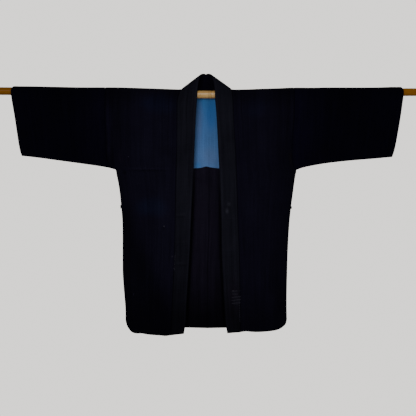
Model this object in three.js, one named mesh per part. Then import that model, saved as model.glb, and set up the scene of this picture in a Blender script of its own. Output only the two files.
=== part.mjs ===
// A hanten jacket hanging on a round rod of two lengths.
//
// Millimetres, +Z up, the open front towards -Y, the wearer's left sleeve on +X.
// The origin is the middle of the rod's axis. "out" is a distance from the centre plane,
// so one function makes both sides, each from its own short tables.
import * as THREE from 'three';

// ---- Driving dimensions ----
const ROD_RADIUS = 12.5;
const ROD_LENGTH = 1400;
const ROD_RISE = 9.2; // how much higher the rod's ends are than its sagging middle
const ROD_JOINT = 9; // from the middle to the ring where the rod's two lengths meet
const ROD_FACETS = 24;
const ROD_STEPS = 12; // along each length

const CLOTH_WALL = 2.2; // the dyed cotton and its backing, sewn together
const LINING_WALL = 1.0;
const LINING_GAP = 0.5;
const COLLAR_WALL = 4.0; // a folded band with its seam allowances inside
const SEAM_GAP = 0.3;
const ROD_CLEARANCE = 0.6;

// Distance of the outer faces from the rod's plane, at the fold and at the hem.
const FRONT_DEPTH = ROD_RADIUS + ROD_CLEARANCE + CLOTH_WALL;
const BACK_DEPTH = FRONT_DEPTH + LINING_WALL + LINING_GAP;
const FRONT_DEPTH_AT_HEM = 11.5;
const BACK_DEPTH_AT_HEM = 13;
const HEM_LEVEL = -755; // the level at which the depths above are reached
const CLOSING_WIDTH = 62; // over this width front and back come together at a closed edge

// ---- Tables of the cut, one for each side of the wearer ----
// fold: height of the shoulder and sleeve fold.       cuff: edge of the sleeve opening.
// underarm: lower fold of the sleeve, cuff to armpit.  armhole: seam of body and sleeve.
// side: side seam from the armpit to the rounded hem corner.
// collarSeam, collarEdge: where the collar band is sewn on, and its free edge.
// hem, backHem: lower edges, from the middle outwards.
const RIGHT_SIDE = {
  name: 'right',
  sign: -1,
  fold: [
    { out: 81, z: 15.6 }, { out: 130, z: 17.1 }, { out: 180, z: 18.9 }, { out: 230, z: 20.3 },
    { out: 281, z: 21.7 }, { out: 400, z: 21.7 }, { out: 458, z: 22.6 }, { out: 508, z: 23.5 },
    { out: 559, z: 24.5 }, { out: 616, z: 24.4 },
  ],
  cuff: [
    { z: 24.4, out: 611 }, { z: 12, out: 616.8 }, { z: -19, out: 614 }, { z: -50, out: 608.6 },
    { z: -88, out: 602.3 }, { z: -164, out: 591 }, { z: -183, out: 587.6 }, { z: -195, out: 584 },
  ],
  underarm: [
    { out: 584, z: -195 }, { out: 533, z: -200.6 }, { out: 482, z: -207.4 }, { out: 432, z: -214 },
    { out: 381, z: -220.8 }, { out: 331, z: -228 }, { out: 306, z: -232.6 }, { out: 289, z: -237.5 },
  ],
  armhole: [
    { z: 22.5, out: 320.7 }, { z: -65, out: 320.5 }, { z: -144, out: 317.6 }, { z: -203, out: 315 },
    { z: -225, out: 306 }, { z: -237.5, out: 289 },
  ],
  side: [
    { z: -237.5, out: 289 }, { z: -276, out: 280.6 }, { z: -314, out: 274.5 },
    { z: -355, out: 270.4 }, { z: -409, out: 266.4 }, { z: -560, out: 265.2 },
    { z: -617, out: 261.4 }, { z: -673, out: 256.6 }, { z: -711, out: 256 },
  ],
  collarSeam: [
    { z: 15.6, out: 81 }, { z: 7, out: 87 }, { z: -10, out: 92 }, { z: -30, out: 94.4 },
    { z: -160, out: 95 }, { z: -270, out: 97.9 }, { z: -364, out: 99.2 }, { z: -519, out: 102 },
    { z: -648, out: 108 }, { z: -758, out: 112 },
  ],
  collarEdge: [
    { z: -17, out: 32 }, { z: -61, out: 35 }, { z: -122, out: 37.8 }, { z: -229, out: 41.8 },
    { z: -348, out: 47.3 }, { z: -519, out: 54.4 }, { z: -648, out: 62.3 }, { z: -726, out: 66 },
    { z: -753, out: 71.5 },
  ],
  hem: [
    { out: 112, z: -758 }, { out: 129, z: -760.5 }, { out: 154, z: -758.5 }, { out: 179, z: -757 },
    { out: 204, z: -753 }, { out: 229, z: -752 }, { out: 241, z: -744 }, { out: 249, z: -732 },
    { out: 254, z: -721 }, { out: 256, z: -711 },
  ],
  backHem: [
    { out: 0, z: -737.6 }, { out: 70, z: -736.2 }, { out: 150, z: -736 }, { out: 222, z: -737 },
    { out: 241, z: -732 }, { out: 252, z: -723 }, { out: 256, z: -711 },
  ],
  centreBack: [{ z: 0, out: -5.4 }, { z: -427, out: -5.8 }, { z: -553, out: -2.1 }, { z: -738, out: -2.4 }],
  collarEnd: { seamZ: -758, edgeZ: -753 },
  // The turn of the collar over the shoulder, a rung for each row: the angle over the rod,
  // from the front (under 0) to the back, and the place of the band's free edge.
  collarTurn: [
    { turn: -90, edgeOut: 31, edgeY: -16, edgeZ: 6 },
    { turn: -67.5, edgeOut: 29.6, edgeY: -16.4, edgeZ: 22 },
    { turn: -45, edgeOut: 27.6, edgeY: -16, edgeZ: 36 },
    { turn: -22.5, edgeOut: 25.4, edgeY: -13, edgeZ: 48 },
    { turn: 0, edgeOut: 22.2, edgeY: -6, edgeZ: 58.5 },
    { turn: 22.5, edgeOut: 18.4, edgeY: 3, edgeZ: 63.6 },
    { turn: 45, edgeOut: 14.6, edgeY: 10, edgeZ: 66 },
    { turn: 67.5, edgeOut: 11, edgeY: 14.6, edgeZ: 67.4 },
    { turn: 77, edgeOut: 8, edgeY: 17, edgeZ: 67 },
  ],
};

const LEFT_SIDE = {
  name: 'left',
  sign: 1,
  fold: [
    { out: 76.5, z: 15.6 }, { out: 122, z: 16.5 }, { out: 172, z: 18.5 }, { out: 223, z: 20.3 },
    { out: 273, z: 22.4 }, { out: 323, z: 22.1 }, { out: 374, z: 23.1 }, { out: 525, z: 23.5 },
    { out: 575, z: 25.3 }, { out: 612, z: 24.8 },
  ],
  cuff: [
    { z: 24.8, out: 611 }, { z: 12, out: 616.8 }, { z: -16, out: 614.4 }, { z: -47.5, out: 610.4 },
    { z: -85, out: 604.8 }, { z: -161, out: 591.7 }, { z: -180, out: 587.8 }, { z: -195.6, out: 583 },
  ],
  underarm: [
    { out: 583, z: -195.6 }, { out: 526, z: -201 }, { out: 475, z: -205.2 }, { out: 425, z: -210 },
    { out: 374, z: -216.2 }, { out: 324, z: -224.9 }, { out: 299, z: -230.8 }, { out: 281.3, z: -237.3 },
  ],
  armhole: [
    { z: 22.5, out: 273 }, { z: -64, out: 273 }, { z: -111, out: 269.5 }, { z: -174, out: 266.5 },
    { z: -208, out: 267.6 }, { z: -226, out: 272 }, { z: -237.3, out: 281.3 },
  ],
  side: [
    { z: -237.3, out: 281.3 }, { z: -275, out: 275.4 }, { z: -313, out: 270.5 },
    { z: -354, out: 265 }, { z: -407, out: 259.7 }, { z: -483, out: 255.6 },
    { z: -559, out: 253.3 }, { z: -653, out: 252 }, { z: -708, out: 252.9 },
  ],
  collarSeam: [
    { z: 15.6, out: 76.5 }, { z: 7, out: 78 }, { z: -8, out: 79.8 }, { z: -30, out: 80.8 },
    { z: -99, out: 84.1 }, { z: -160, out: 88.3 }, { z: -270, out: 93 }, { z: -364, out: 96.1 },
    { z: -518, out: 102.4 }, { z: -650, out: 104.6 }, { z: -748, out: 105 },
  ],
  collarEdge: [
    { z: -17, out: 24.6 }, { z: -61, out: 28.4 }, { z: -99, out: 30.8 }, { z: -160, out: 34 },
    { z: -270, out: 39.8 }, { z: -364, out: 42.9 }, { z: -518, out: 46.2 }, { z: -635, out: 52.6 },
    { z: -710, out: 57.4 }, { z: -751, out: 64.5 },
  ],
  hem: [
    { out: 105, z: -747.5 }, { out: 124, z: -745.4 }, { out: 149, z: -747.6 }, { out: 174, z: -747 },
    { out: 199, z: -744.6 }, { out: 225, z: -739.6 }, { out: 240, z: -731 }, { out: 250, z: -720 },
    { out: 252.9, z: -708 },
  ],
  backHem: [
    { out: 0, z: -737.6 }, { out: 70, z: -736.2 }, { out: 150, z: -735 }, { out: 214, z: -734 },
    { out: 238, z: -727 }, { out: 249, z: -718 }, { out: 252.9, z: -708 },
  ],
  centreBack: [{ z: 0, out: 5.4 }, { z: -427, out: 5.8 }, { z: -553, out: 2.1 }, { z: -738, out: 2.4 }],
  collarEnd: { seamZ: -748, edgeZ: -751 },
  collarTurn: [
    { turn: -90, edgeOut: 23.4, edgeY: -16, edgeZ: 6 },
    { turn: -67.5, edgeOut: 22.2, edgeY: -16.4, edgeZ: 22 },
    { turn: -45, edgeOut: 20.6, edgeY: -16, edgeZ: 35 },
    { turn: -22.5, edgeOut: 18, edgeY: -13, edgeZ: 47 },
    { turn: 0, edgeOut: 13.8, edgeY: -6, edgeZ: 58.2 },
    { turn: 22.5, edgeOut: 9.6, edgeY: 3, edgeZ: 63.4 },
    { turn: 45, edgeOut: 5.6, edgeY: 10, edgeZ: 66 },
    { turn: 67.5, edgeOut: 2, edgeY: 14.6, edgeZ: 67.4 },
    { turn: 77, edgeOut: -1.6, edgeY: 17, edgeZ: 67 },
  ],
};

const SIDES = [RIGHT_SIDE, LEFT_SIDE];

// Back neckline of the body: where each row over the fold meets the collar, from the neck
// point down to the middle of the back. "share" is the way from the neck point to the middle.
const NECKLINE = [
  { turn: 0, share: 0 }, { turn: 22.5, share: 0.02 }, { turn: 45, share: 0.06 },
  { turn: 67.5, share: 0.15 }, { turn: 77, share: 0.5 }, { turn: 90, share: 1 },
];

// The main folds: soft ridges (rise over 0) and troughs (under 0) in the hanging cloth,
// each along a line from one place to the other, as wide as twice its spread.
const FOLDS = [
  // Drag lines that run down from the sleeve seams into the armpits.
  { side: 'right', layer: 'front', out: 352, z: -60, toOut: 300, toZ: -216, spread: 15, rise: 3.2 },
  { side: 'right', layer: 'front', out: 316, z: -70, toOut: 290, toZ: -205, spread: 12, rise: -2.4 },
  { side: 'right', layer: 'front', out: 296, z: -96, toOut: 276, toZ: -228, spread: 13, rise: 2.4 },
  { side: 'left', layer: 'front', out: 330, z: -58, toOut: 290, toZ: -212, spread: 16, rise: 3 },
  { side: 'left', layer: 'front', out: 282, z: -84, toOut: 276, toZ: -214, spread: 12, rise: -2.6 },
  { side: 'left', layer: 'front', out: 250, z: -110, toOut: 262, toZ: -236, spread: 14, rise: 2.2 },
  { side: 'right', layer: 'back', out: 344, z: -64, toOut: 298, toZ: -210, spread: 16, rise: 3 },
  { side: 'right', layer: 'back', out: 302, z: -80, toOut: 282, toZ: -214, spread: 13, rise: -2.4 },
  { side: 'left', layer: 'back', out: 322, z: -70, toOut: 288, toZ: -208, spread: 15, rise: 3.1 },
  { side: 'left', layer: 'back', out: 262, z: -92, toOut: 268, toZ: -224, spread: 13, rise: -2.2 },
  // Slack that hangs from the rod in the sleeves.
  { side: 'right', layer: 'front', out: 455, z: -30, toOut: 446, toZ: -196, spread: 30, rise: 2.8 },
  { side: 'right', layer: 'front', out: 540, z: -48, toOut: 524, toZ: -186, spread: 26, rise: -2.2 },
  { side: 'left', layer: 'front', out: 436, z: -36, toOut: 420, toZ: -196, spread: 28, rise: 2.6 },
  { side: 'left', layer: 'front', out: 520, z: -40, toOut: 512, toZ: -188, spread: 30, rise: -2.4 },
  { side: 'right', layer: 'back', out: 430, z: -34, toOut: 418, toZ: -200, spread: 30, rise: 2.6 },
  { side: 'right', layer: 'back', out: 520, z: -44, toOut: 512, toZ: -190, spread: 26, rise: -2.2 },
  { side: 'left', layer: 'back', out: 410, z: -40, toOut: 400, toZ: -200, spread: 28, rise: 2.8 },
  { side: 'left', layer: 'back', out: 500, z: -36, toOut: 486, toZ: -188, spread: 30, rise: -2.2 },
  // Long soft waves that open towards the hem.
  { side: 'right', layer: 'front', out: 214, z: -300, toOut: 206, toZ: -790, spread: 34, rise: 4 },
  { side: 'right', layer: 'front', out: 158, z: -420, toOut: 150, toZ: -800, spread: 30, rise: -3 },
  { side: 'left', layer: 'front', out: 202, z: -330, toOut: 214, toZ: -790, spread: 32, rise: 3.6 },
  { side: 'left', layer: 'front', out: 150, z: -380, toOut: 156, toZ: -800, spread: 28, rise: -3 },
  { side: 'right', layer: 'back', out: 200, z: -250, toOut: 190, toZ: -780, spread: 36, rise: 3.6 },
  { side: 'right', layer: 'back', out: 110, z: -300, toOut: 100, toZ: -790, spread: 32, rise: -3 },
  { side: 'left', layer: 'back', out: 186, z: -270, toOut: 196, toZ: -780, spread: 34, rise: 3.8 },
  { side: 'left', layer: 'back', out: 96, z: -330, toOut: 104, toZ: -790, spread: 32, rise: -2.8 },
];

// ---- Grids: how finely each piece is divided ----
const FOLD_TURNS = [0, 22.5, 45, 67.5, 90]; // degrees over the rod, from the fold downwards
const BODY_COLUMNS = [0, 0.12, 0.25, 0.38, 0.51, 0.64, 0.76, 0.86, 0.93, 0.975, 1];
const ARMHOLE_ROWS = [0.14, 0.25, 0.38, 0.52, 0.66, 0.79, 0.88, 0.94, 0.975, 1];
const SIDE_ROWS = [0.035, 0.08, 0.15, 0.24, 0.33, 0.42, 0.51, 0.6, 0.69, 0.78, 0.86, 0.93, 1];
const SLEEVE_COLUMNS = [0, 0.06, 0.16, 0.3, 0.46, 0.62, 0.78, 0.92, 1];
const LINING_ROWS = [0, 0.12, 0.28, 0.46, 0.64, 0.82, 1];
const LINING_LAST_COLUMN = 6; // of the body's columns
const COLLAR_ROWS = 20; // down each front
const COLLAR_CROWDING = 1.15; // over 1, the rows lie closer together towards the neck, where the seam bends
const COLLAR_COLUMNS = 3;
const COLLAR_LEAN = 0.6; // how much further forward the free edge lies than the seam
const COLLAR_MIDDLE = { seamY: 16.5, seamZ: 1.2, edgeX: -5, edgeY: 18, edgeZ: 65.8 };
const COLLAR_SEAM_EASE = 0.14; // keeps the band's straights clear of the body where the seam bends
const COLLAR_TURN_GAP = 1; // between body and band where the band stands up round the neck

const LINING_TOP = -2;
const LINING_HEM = [{ out: 0, z: -229 }, { out: 12, z: -231 }, { out: 45, z: -234.4 }, { out: 120, z: -237 }];

// ---- Small helpers ----
const mix = (a, b, t) => a + (b - a) * t;
const clamp01 = (t) => Math.min(1, Math.max(0, t));
const radians = (degrees) => (degrees * Math.PI) / 180;
const last = (rows) => rows[rows.length - 1];

// Value of one column of a table at a place in another, on a smooth curve through its rows.
function lookUp(rows, from, to, place) {
  const rising = last(rows)[from] > rows[0][from];
  const sorted = rising ? rows : [...rows].reverse();
  const slope = (i) => {
    const a = sorted[Math.max(0, i - 1)];
    const b = sorted[Math.min(sorted.length - 1, i + 1)];
    return (b[to] - a[to]) / (b[from] - a[from]);
  };
  if (place <= sorted[0][from]) {
    return sorted[0][to];
  }
  if (place >= last(sorted)[from]) {
    return last(sorted)[to];
  }
  const i = sorted.findIndex((row) => row[from] > place) - 1;
  const step = sorted[i + 1][from] - sorted[i][from];
  const t = (place - sorted[i][from]) / step;
  const rise = sorted[i + 1][to] - sorted[i][to];
  const early = slope(i) * step;
  const late = slope(i + 1) * step;
  return sorted[i][to] + t * early + t * t * (3 * rise - 2 * early - late)
    + t * t * t * (early + late - 2 * rise);
}

// Distance from a place to the stretch between two others, and how far along it lies.
function toStretch(out, z, a, b) {
  const along = [b.out - a.out, b.z - a.z];
  const square = along[0] * along[0] + along[1] * along[1];
  const t = clamp01(((out - a.out) * along[0] + (z - a.z) * along[1]) / square);
  return { away: Math.hypot(out - a.out - t * along[0], z - a.z - t * along[1]), t };
}

// ---- The hanging cloth: how far its faces stand from the rod's plane ----
function distanceToClosedEdge(side, out, z) {
  const edge = [...side.underarm, ...side.side.slice(1)];
  let nearest = Infinity;
  for (let i = 1; i < edge.length; i += 1) {
    nearest = Math.min(nearest, toStretch(out, z, edge[i - 1], edge[i]).away);
  }
  return nearest;
}

function foldRelief(side, layer, out, z) {
  let relief = 0;
  for (const fold of FOLDS) {
    if (fold.side === side.name && fold.layer === layer) {
      const { away, t } = toStretch(out, z, fold, { out: fold.toOut, z: fold.toZ });
      if (away < 2 * fold.spread) {
        const across = Math.cos((Math.PI / 4) * (away / fold.spread)) ** 2;
        const swell = 0.25 + 0.75 * Math.sin(Math.PI * clamp01(t)) ** 0.8;
        relief += fold.rise * across * swell;
      }
    }
  }
  return relief;
}

// Outer face and inner face of the cloth at a place, as points of the section through it.
function clothFaces(side, layer, out, z) {
  const front = layer === 'front';
  const depthAtFold = front ? FRONT_DEPTH : BACK_DEPTH;
  const depthAtHem = front ? FRONT_DEPTH_AT_HEM : BACK_DEPTH_AT_HEM;
  const top = lookUp(side.fold, 'out', 'z', out);
  const drop = Math.max(0, top - z);
  const towards = front ? -1 : 1;
  if (drop < FRONT_DEPTH - 0.01) {
    const turn = Math.acos(1 - drop / FRONT_DEPTH);
    const centre = top - FRONT_DEPTH;
    const inner = FRONT_DEPTH - CLOTH_WALL;
    const y = towards * depthAtFold * Math.sin(turn);
    return {
      outer: { y, z },
      inner: { y: y - towards * CLOTH_WALL * Math.sin(turn), z: centre + inner * Math.cos(turn) },
    };
  }
  const lower = clamp01((top - z - FRONT_DEPTH) / (top - HEM_LEVEL - FRONT_DEPTH));
  const full = mix(depthAtFold, depthAtHem, lower);
  const closed = clamp01(distanceToClosedEdge(side, out, z) / CLOSING_WIDTH);
  const open = Math.sin((Math.PI / 2) * closed);
  const least = CLOTH_WALL + SEAM_GAP / 2;
  const below = clamp01((drop - FRONT_DEPTH) / 40);
  const depth = mix(least, full, open) + foldRelief(side, layer, out, z) * open * below;
  return { outer: { y: towards * depth, z }, inner: { y: towards * (depth - CLOTH_WALL), z } };
}

// ---- Grids of places on a panel, from its four edges ----
// Each edge is a function of its share, 0 to 1, and gives a place { out, z }. Rows run
// straight from the near edge to the far one, and bend towards the top and bottom edges
// as they come close to them.
function panelPlaces(rows, columns, near, far, top, bottom) {
  const straight = (u, v, key) => mix(near(v)[key], far(v)[key], u);
  const bow = (edge, u, key) => edge(u)[key] - mix(edge(0)[key], edge(1)[key], u);
  const place = (u, v, key) =>
    straight(u, v, key) + (1 - v) ** 4 * bow(top, u, key) + v ** 5 * bow(bottom, u, key);
  return rows.map((v) => columns.map((u) => ({ out: place(u, v, 'out'), z: place(u, v, 'z') })));
}

// A place on a line of { z, out } rows, moved square to the line by a margin.
function onLine(table, z, margin = 0) {
  const slope = (lookUp(table, 'z', 'out', z + 0.5) - lookUp(table, 'z', 'out', z - 0.5));
  const square = Math.hypot(1, slope);
  return { out: lookUp(table, 'z', 'out', z) + margin / square, z: z - (margin * slope) / square };
}

function downTable(table, topZ, bottomZ, margin = 0) {
  return (v) => onLine(table, mix(topZ, bottomZ, v), margin);
}

// An edge that runs across a table of { out, z } rows.
function acrossTable(table, fromOut, toOut) {
  return (u) => {
    const out = mix(fromOut, toOut, u);
    return { out, z: lookUp(table, 'out', 'z', out) };
  };
}

// The rows of a panel that starts on the fold: over the rod first, and then down.
function rowsFromFold(length, shares) {
  const overRod = FOLD_TURNS.map((turn) => (FRONT_DEPTH * (1 - Math.cos(radians(turn)))) / length);
  return [...overRod, ...shares];
}

// Outer edge of a body panel: down the armhole seam, round the armpit and down the side.
function outerEdge(side) {
  const armpit = last(side.armhole);
  const corner = last(side.side);
  const start = side.armhole[0].out - SEAM_GAP / 2;
  const topZ = lookUp(side.fold, 'out', 'z', start);
  const length = topZ - corner.z;
  const armholeShare = (topZ - armpit.z) / length;
  const armholeRows = ARMHOLE_ROWS.map((share) => share * armholeShare);
  const sideRows = SIDE_ROWS.map((share) => mix(armholeShare, 1, share));
  const place = (v) => {
    const z = mix(topZ, corner.z, v);
    const table = v < armholeShare + 1e-9 ? side.armhole : side.side;
    return onLine(table, z, -SEAM_GAP / 2);
  };
  return { start, topZ, length, place, rows: rowsFromFold(length, [...armholeRows, ...sideRows]) };
}

// ---- Closed walls from an outer and an inner grid of points ----
function closedWall(outer, inner) {
  const rows = outer.length;
  const columns = outer[0].length;
  const positions = [...outer.flat(2), ...inner.flat(2)];
  const at = (layer, i, j) => (layer * rows + i) * columns + j;
  const triangles = [];
  const quad = (a, b, c, d) => triangles.push(a, b, c, a, c, d);
  for (let i = 0; i < rows - 1; i += 1) {
    for (let j = 0; j < columns - 1; j += 1) {
      quad(at(0, i, j), at(0, i + 1, j), at(0, i + 1, j + 1), at(0, i, j + 1));
      quad(at(1, i, j), at(1, i, j + 1), at(1, i + 1, j + 1), at(1, i + 1, j));
    }
    const end = columns - 1;
    quad(at(0, i, 0), at(1, i, 0), at(1, i + 1, 0), at(0, i + 1, 0));
    quad(at(0, i, end), at(0, i + 1, end), at(1, i + 1, end), at(1, i, end));
  }
  for (let j = 0; j < columns - 1; j += 1) {
    const end = rows - 1;
    quad(at(0, 0, j), at(0, 0, j + 1), at(1, 0, j + 1), at(1, 0, j));
    quad(at(0, end, j), at(1, end, j), at(1, end, j + 1), at(0, end, j + 1));
  }
  return solidGeometry(positions, triangles);
}

// A geometry whose faces point outwards, whichever way round its triangles were listed.
function solidGeometry(positions, triangles) {
  const corner = (k) => new THREE.Vector3().fromArray(positions, 3 * k);
  let volume = 0;
  for (let i = 0; i < triangles.length; i += 3) {
    const [a, b, c] = [corner(triangles[i]), corner(triangles[i + 1]), corner(triangles[i + 2])];
    volume += a.dot(b.cross(c)) / 6;
  }
  const geometry = new THREE.BufferGeometry();
  geometry.setAttribute('position', new THREE.Float32BufferAttribute(positions, 3));
  geometry.setIndex(volume > 0 ? triangles : [...triangles].reverse());
  geometry.computeVertexNormals();
  return geometry;
}

// ---- Body: each half is one length, from the front hem over the rod to the back hem ----
function frontPlaces(side) {
  const neck = side.collarSeam[0];
  const edge = outerEdge(side);
  const hemOut = last(side.collarSeam).out + SEAM_GAP;
  const near = downTable(side.collarSeam, neck.z, side.hem[0].z, SEAM_GAP);
  const top = acrossTable(side.fold, neck.out + SEAM_GAP, edge.start);
  const bottom = acrossTable(side.hem, hemOut, last(side.side).out - SEAM_GAP / 2);
  return panelPlaces(edge.rows, BODY_COLUMNS, near, edge.place, top, bottom);
}

function backPlaces(side) {
  const neck = side.collarSeam[0];
  const edge = outerEdge(side);
  const neckBottom = neck.z - FRONT_DEPTH;
  const hemAtSeam = side.backHem[0].z;
  const near = (v) => {
    const drop = v * edge.length;
    if (drop < FRONT_DEPTH - 0.01) {
      return neckline(side, (Math.acos(1 - drop / FRONT_DEPTH) * 180) / Math.PI);
    }
    const z = mix(neckBottom, hemAtSeam, (drop - FRONT_DEPTH) / (edge.length - FRONT_DEPTH));
    return { out: centreSeam(side, z), z };
  };
  const top = acrossTable(side.fold, neck.out + SEAM_GAP, edge.start);
  const bottom = acrossTable(side.backHem, centreSeam(side, hemAtSeam), last(side.side).out - SEAM_GAP / 2);
  return panelPlaces(edge.rows, BODY_COLUMNS, near, edge.place, top, bottom);
}

// Back neckline of the body, at an angle over the rod from the neck point.
function neckline(side, turn, margin = SEAM_GAP) {
  const neck = side.collarSeam[0];
  const z = neck.z - FRONT_DEPTH * (1 - Math.cos(radians(turn)));
  const share = lookUp(NECKLINE, 'turn', 'share', turn);
  return { out: mix(neck.out, centreSeam(side, z), share) + margin, z };
}

// Edge of this half at the centre-back seam, half a gap short of it.
function centreSeam(side, z) {
  return lookUp(side.centreBack, 'z', 'out', z) + SEAM_GAP / 2;
}

function facesOfPlaces(side, layer, places) {
  const point = (place, face) => [side.sign * place.out, face.y, face.z];
  const faces = places.map((row) => row.map((place) => clothFaces(side, layer, place.out, place.z)));
  const grid = (name) => places.map((row, i) => row.map((place, j) => point(place, faces[i][j][name])));
  return { outer: grid('outer'), inner: grid('inner') };
}

// Front and back grids joined along the fold, which they share.
function overTheRod(side, front, back) {
  const frontFaces = facesOfPlaces(side, 'front', front);
  const backFaces = facesOfPlaces(side, 'back', back);
  const joined = (name) => [...frontFaces[name].reverse(), ...backFaces[name].slice(1)];
  return closedWall(joined('outer'), joined('inner'));
}

function bodyHalf(side) {
  return overTheRod(side, frontPlaces(side), backPlaces(side));
}

// ---- Sleeve: one piece folded over the rod and closed under the arm ----
function sleeve(side) {
  const armpit = last(side.armhole);
  const start = side.armhole[0].out + SEAM_GAP / 2;
  const cuffTop = side.cuff[0];
  const cuffEnd = last(side.cuff);
  const { topZ } = outerEdge(side);
  const near = downTable(side.armhole, topZ, armpit.z, SEAM_GAP / 2);
  const far = downTable(side.cuff, cuffTop.z, cuffEnd.z);
  const top = acrossTable(side.fold, start, cuffTop.out);
  const bottom = acrossTable(side.underarm, near(1).out, cuffEnd.out);
  const rows = rowsFromFold(topZ - armpit.z, ARMHOLE_ROWS);
  const places = panelPlaces(rows, SLEEVE_COLUMNS, near, far, top, bottom);
  return overTheRod(side, places, places);
}

// ---- Shoulder lining: lies on the inside of the back, moved in from its points ----
function shoulderLining(side) {
  const back = facesOfPlaces(side, 'back', backPlaces(side)).inner;
  const columns = BODY_COLUMNS.slice(0, LINING_LAST_COLUMN + 1).map((_, j) => back.map((row) => row[j]));
  const onColumn = (column, z) => {
    const i = Math.max(1, column.findIndex((point) => point[2] < z));
    const t = (z - column[i - 1][2]) / (column[i][2] - column[i - 1][2]);
    return column[i].map((value, axis) => mix(column[i - 1][axis], value, t));
  };
  const places = LINING_ROWS.map((share) => columns.map((column) => {
    const hem = lookUp(LINING_HEM, 'out', 'z', Math.abs(onColumn(column, LINING_HEM[0].z)[0]));
    return onColumn(column, mix(LINING_TOP, hem, share));
  }));
  const moved = (depth) => places.map((row) => row.map(([x, y, z]) => [x, y - depth, z]));
  return closedWall(moved(LINING_GAP), moved(LINING_GAP + LINING_WALL));
}

// ---- Collar: one folded band, up one front, round the neck and down the other ----
function collarRungs(side) {
  const rungs = [];
  const neck = side.collarSeam[0];
  const turnStart = { seamZ: neck.z - FRONT_DEPTH, edgeZ: side.collarTurn[0].edgeZ };
  for (let i = 0; i < COLLAR_ROWS; i += 1) {
    const v = 1 - (1 - i / COLLAR_ROWS) ** COLLAR_CROWDING;
    const seamZ = mix(side.collarEnd.seamZ, turnStart.seamZ, v);
    const edgeZ = mix(side.collarEnd.edgeZ, turnStart.edgeZ, v);
    const seam = onLine(side.collarSeam, seamZ);
    const y = clothFaces(side, 'front', seam.out + SEAM_GAP, seamZ).inner.y - COLLAR_WALL / 2;
    rungs.push({
      seam: [side.sign * (seam.out - COLLAR_SEAM_EASE), y, seamZ],
      edge: [side.sign * lookUp(side.collarEdge, 'z', 'out', edgeZ), y - COLLAR_LEAN, edgeZ],
    });
  }
  for (const { turn, edgeOut, edgeY, edgeZ } of side.collarTurn) {
    const level = neck.z - FRONT_DEPTH * (1 - Math.cos(radians(turn)));
    const out = turn > 0 ? neckline(side, turn, 0).out : lookUp(side.collarSeam, 'z', 'out', level);
    const depth = (turn > 0 ? BACK_DEPTH : FRONT_DEPTH) - CLOTH_WALL + COLLAR_WALL / 2;
    const rise = FRONT_DEPTH - CLOTH_WALL + COLLAR_WALL / 2;
    const seamZ = neck.z - FRONT_DEPTH + rise * Math.cos(radians(turn));
    const seam = new THREE.Vector3(side.sign * out, depth * Math.sin(radians(turn)), seamZ);
    const edge = new THREE.Vector3(side.sign * edgeOut, edgeY, edgeZ);
    const clear = edge.clone().sub(seam).setLength(COLLAR_TURN_GAP);
    rungs.push({ seam: seam.add(clear).toArray(), edge: edge.toArray() });
  }
  return rungs;
}

function collar() {
  const { seamY, seamZ, edgeX, edgeY, edgeZ } = COLLAR_MIDDLE;
  const middle = { seam: [0, seamY, seamZ], edge: [edgeX, edgeY, edgeZ] };
  const rungs = [...collarRungs(RIGHT_SIDE), middle, ...collarRungs(LEFT_SIDE).reverse()];
  const grid = rungs.map(({ seam, edge }) => {
    const from = new THREE.Vector3(...seam);
    const to = new THREE.Vector3(...edge);
    return Array.from({ length: COLLAR_COLUMNS + 1 }, (_, j) => from.clone().lerp(to, j / COLLAR_COLUMNS));
  });
  const lastRow = grid.length - 1;
  const normal = (i, j) => {
    const along = grid[Math.min(lastRow, i + 1)][j].clone().sub(grid[Math.max(0, i - 1)][j]);
    const across = grid[i][COLLAR_COLUMNS].clone().sub(grid[i][0]);
    return along.cross(across).normalize();
  };
  const face = (offset) => grid.map((row, i) =>
    row.map((point, j) => point.clone().addScaledVector(normal(i, j), offset).toArray()));
  return closedWall(face(COLLAR_WALL / 2), face(-COLLAR_WALL / 2));
}

// ---- Rod: held level at its two ends, so it sags between them ----
function rodAxis(x) {
  return ROD_RISE * Math.sin((Math.PI * x) / ROD_LENGTH) ** 2;
}

// One length of the rod, between two places on X.
function rodLength(fromX, toX) {
  const positions = [];
  const triangles = [];
  for (let i = 0; i <= ROD_STEPS; i += 1) {
    const x = mix(fromX, toX, i / ROD_STEPS);
    for (let k = 0; k < ROD_FACETS; k += 1) {
      const turn = (2 * Math.PI * k) / ROD_FACETS;
      positions.push(x, ROD_RADIUS * Math.cos(turn), rodAxis(x) + ROD_RADIUS * Math.sin(turn));
    }
  }
  const ring = (i, k) => i * ROD_FACETS + (k % ROD_FACETS);
  for (let i = 0; i < ROD_STEPS; i += 1) {
    for (let k = 0; k < ROD_FACETS; k += 1) {
      triangles.push(ring(i, k), ring(i + 1, k), ring(i + 1, k + 1));
      triangles.push(ring(i, k), ring(i + 1, k + 1), ring(i, k + 1));
    }
  }
  for (let k = 1; k < ROD_FACETS - 1; k += 1) {
    triangles.push(ring(0, 0), ring(0, k), ring(0, k + 1));
    triangles.push(ring(ROD_STEPS, 0), ring(ROD_STEPS, k + 1), ring(ROD_STEPS, k));
  }
  return solidGeometry(positions, triangles);
}

// ---- Materials and the finished group ----
const matte = (color, roughness) => new THREE.MeshStandardMaterial({ color, roughness, metalness: 0 });

function named(name, geometry, material) {
  const mesh = new THREE.Mesh(geometry, material);
  mesh.name = name;
  return mesh;
}

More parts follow.
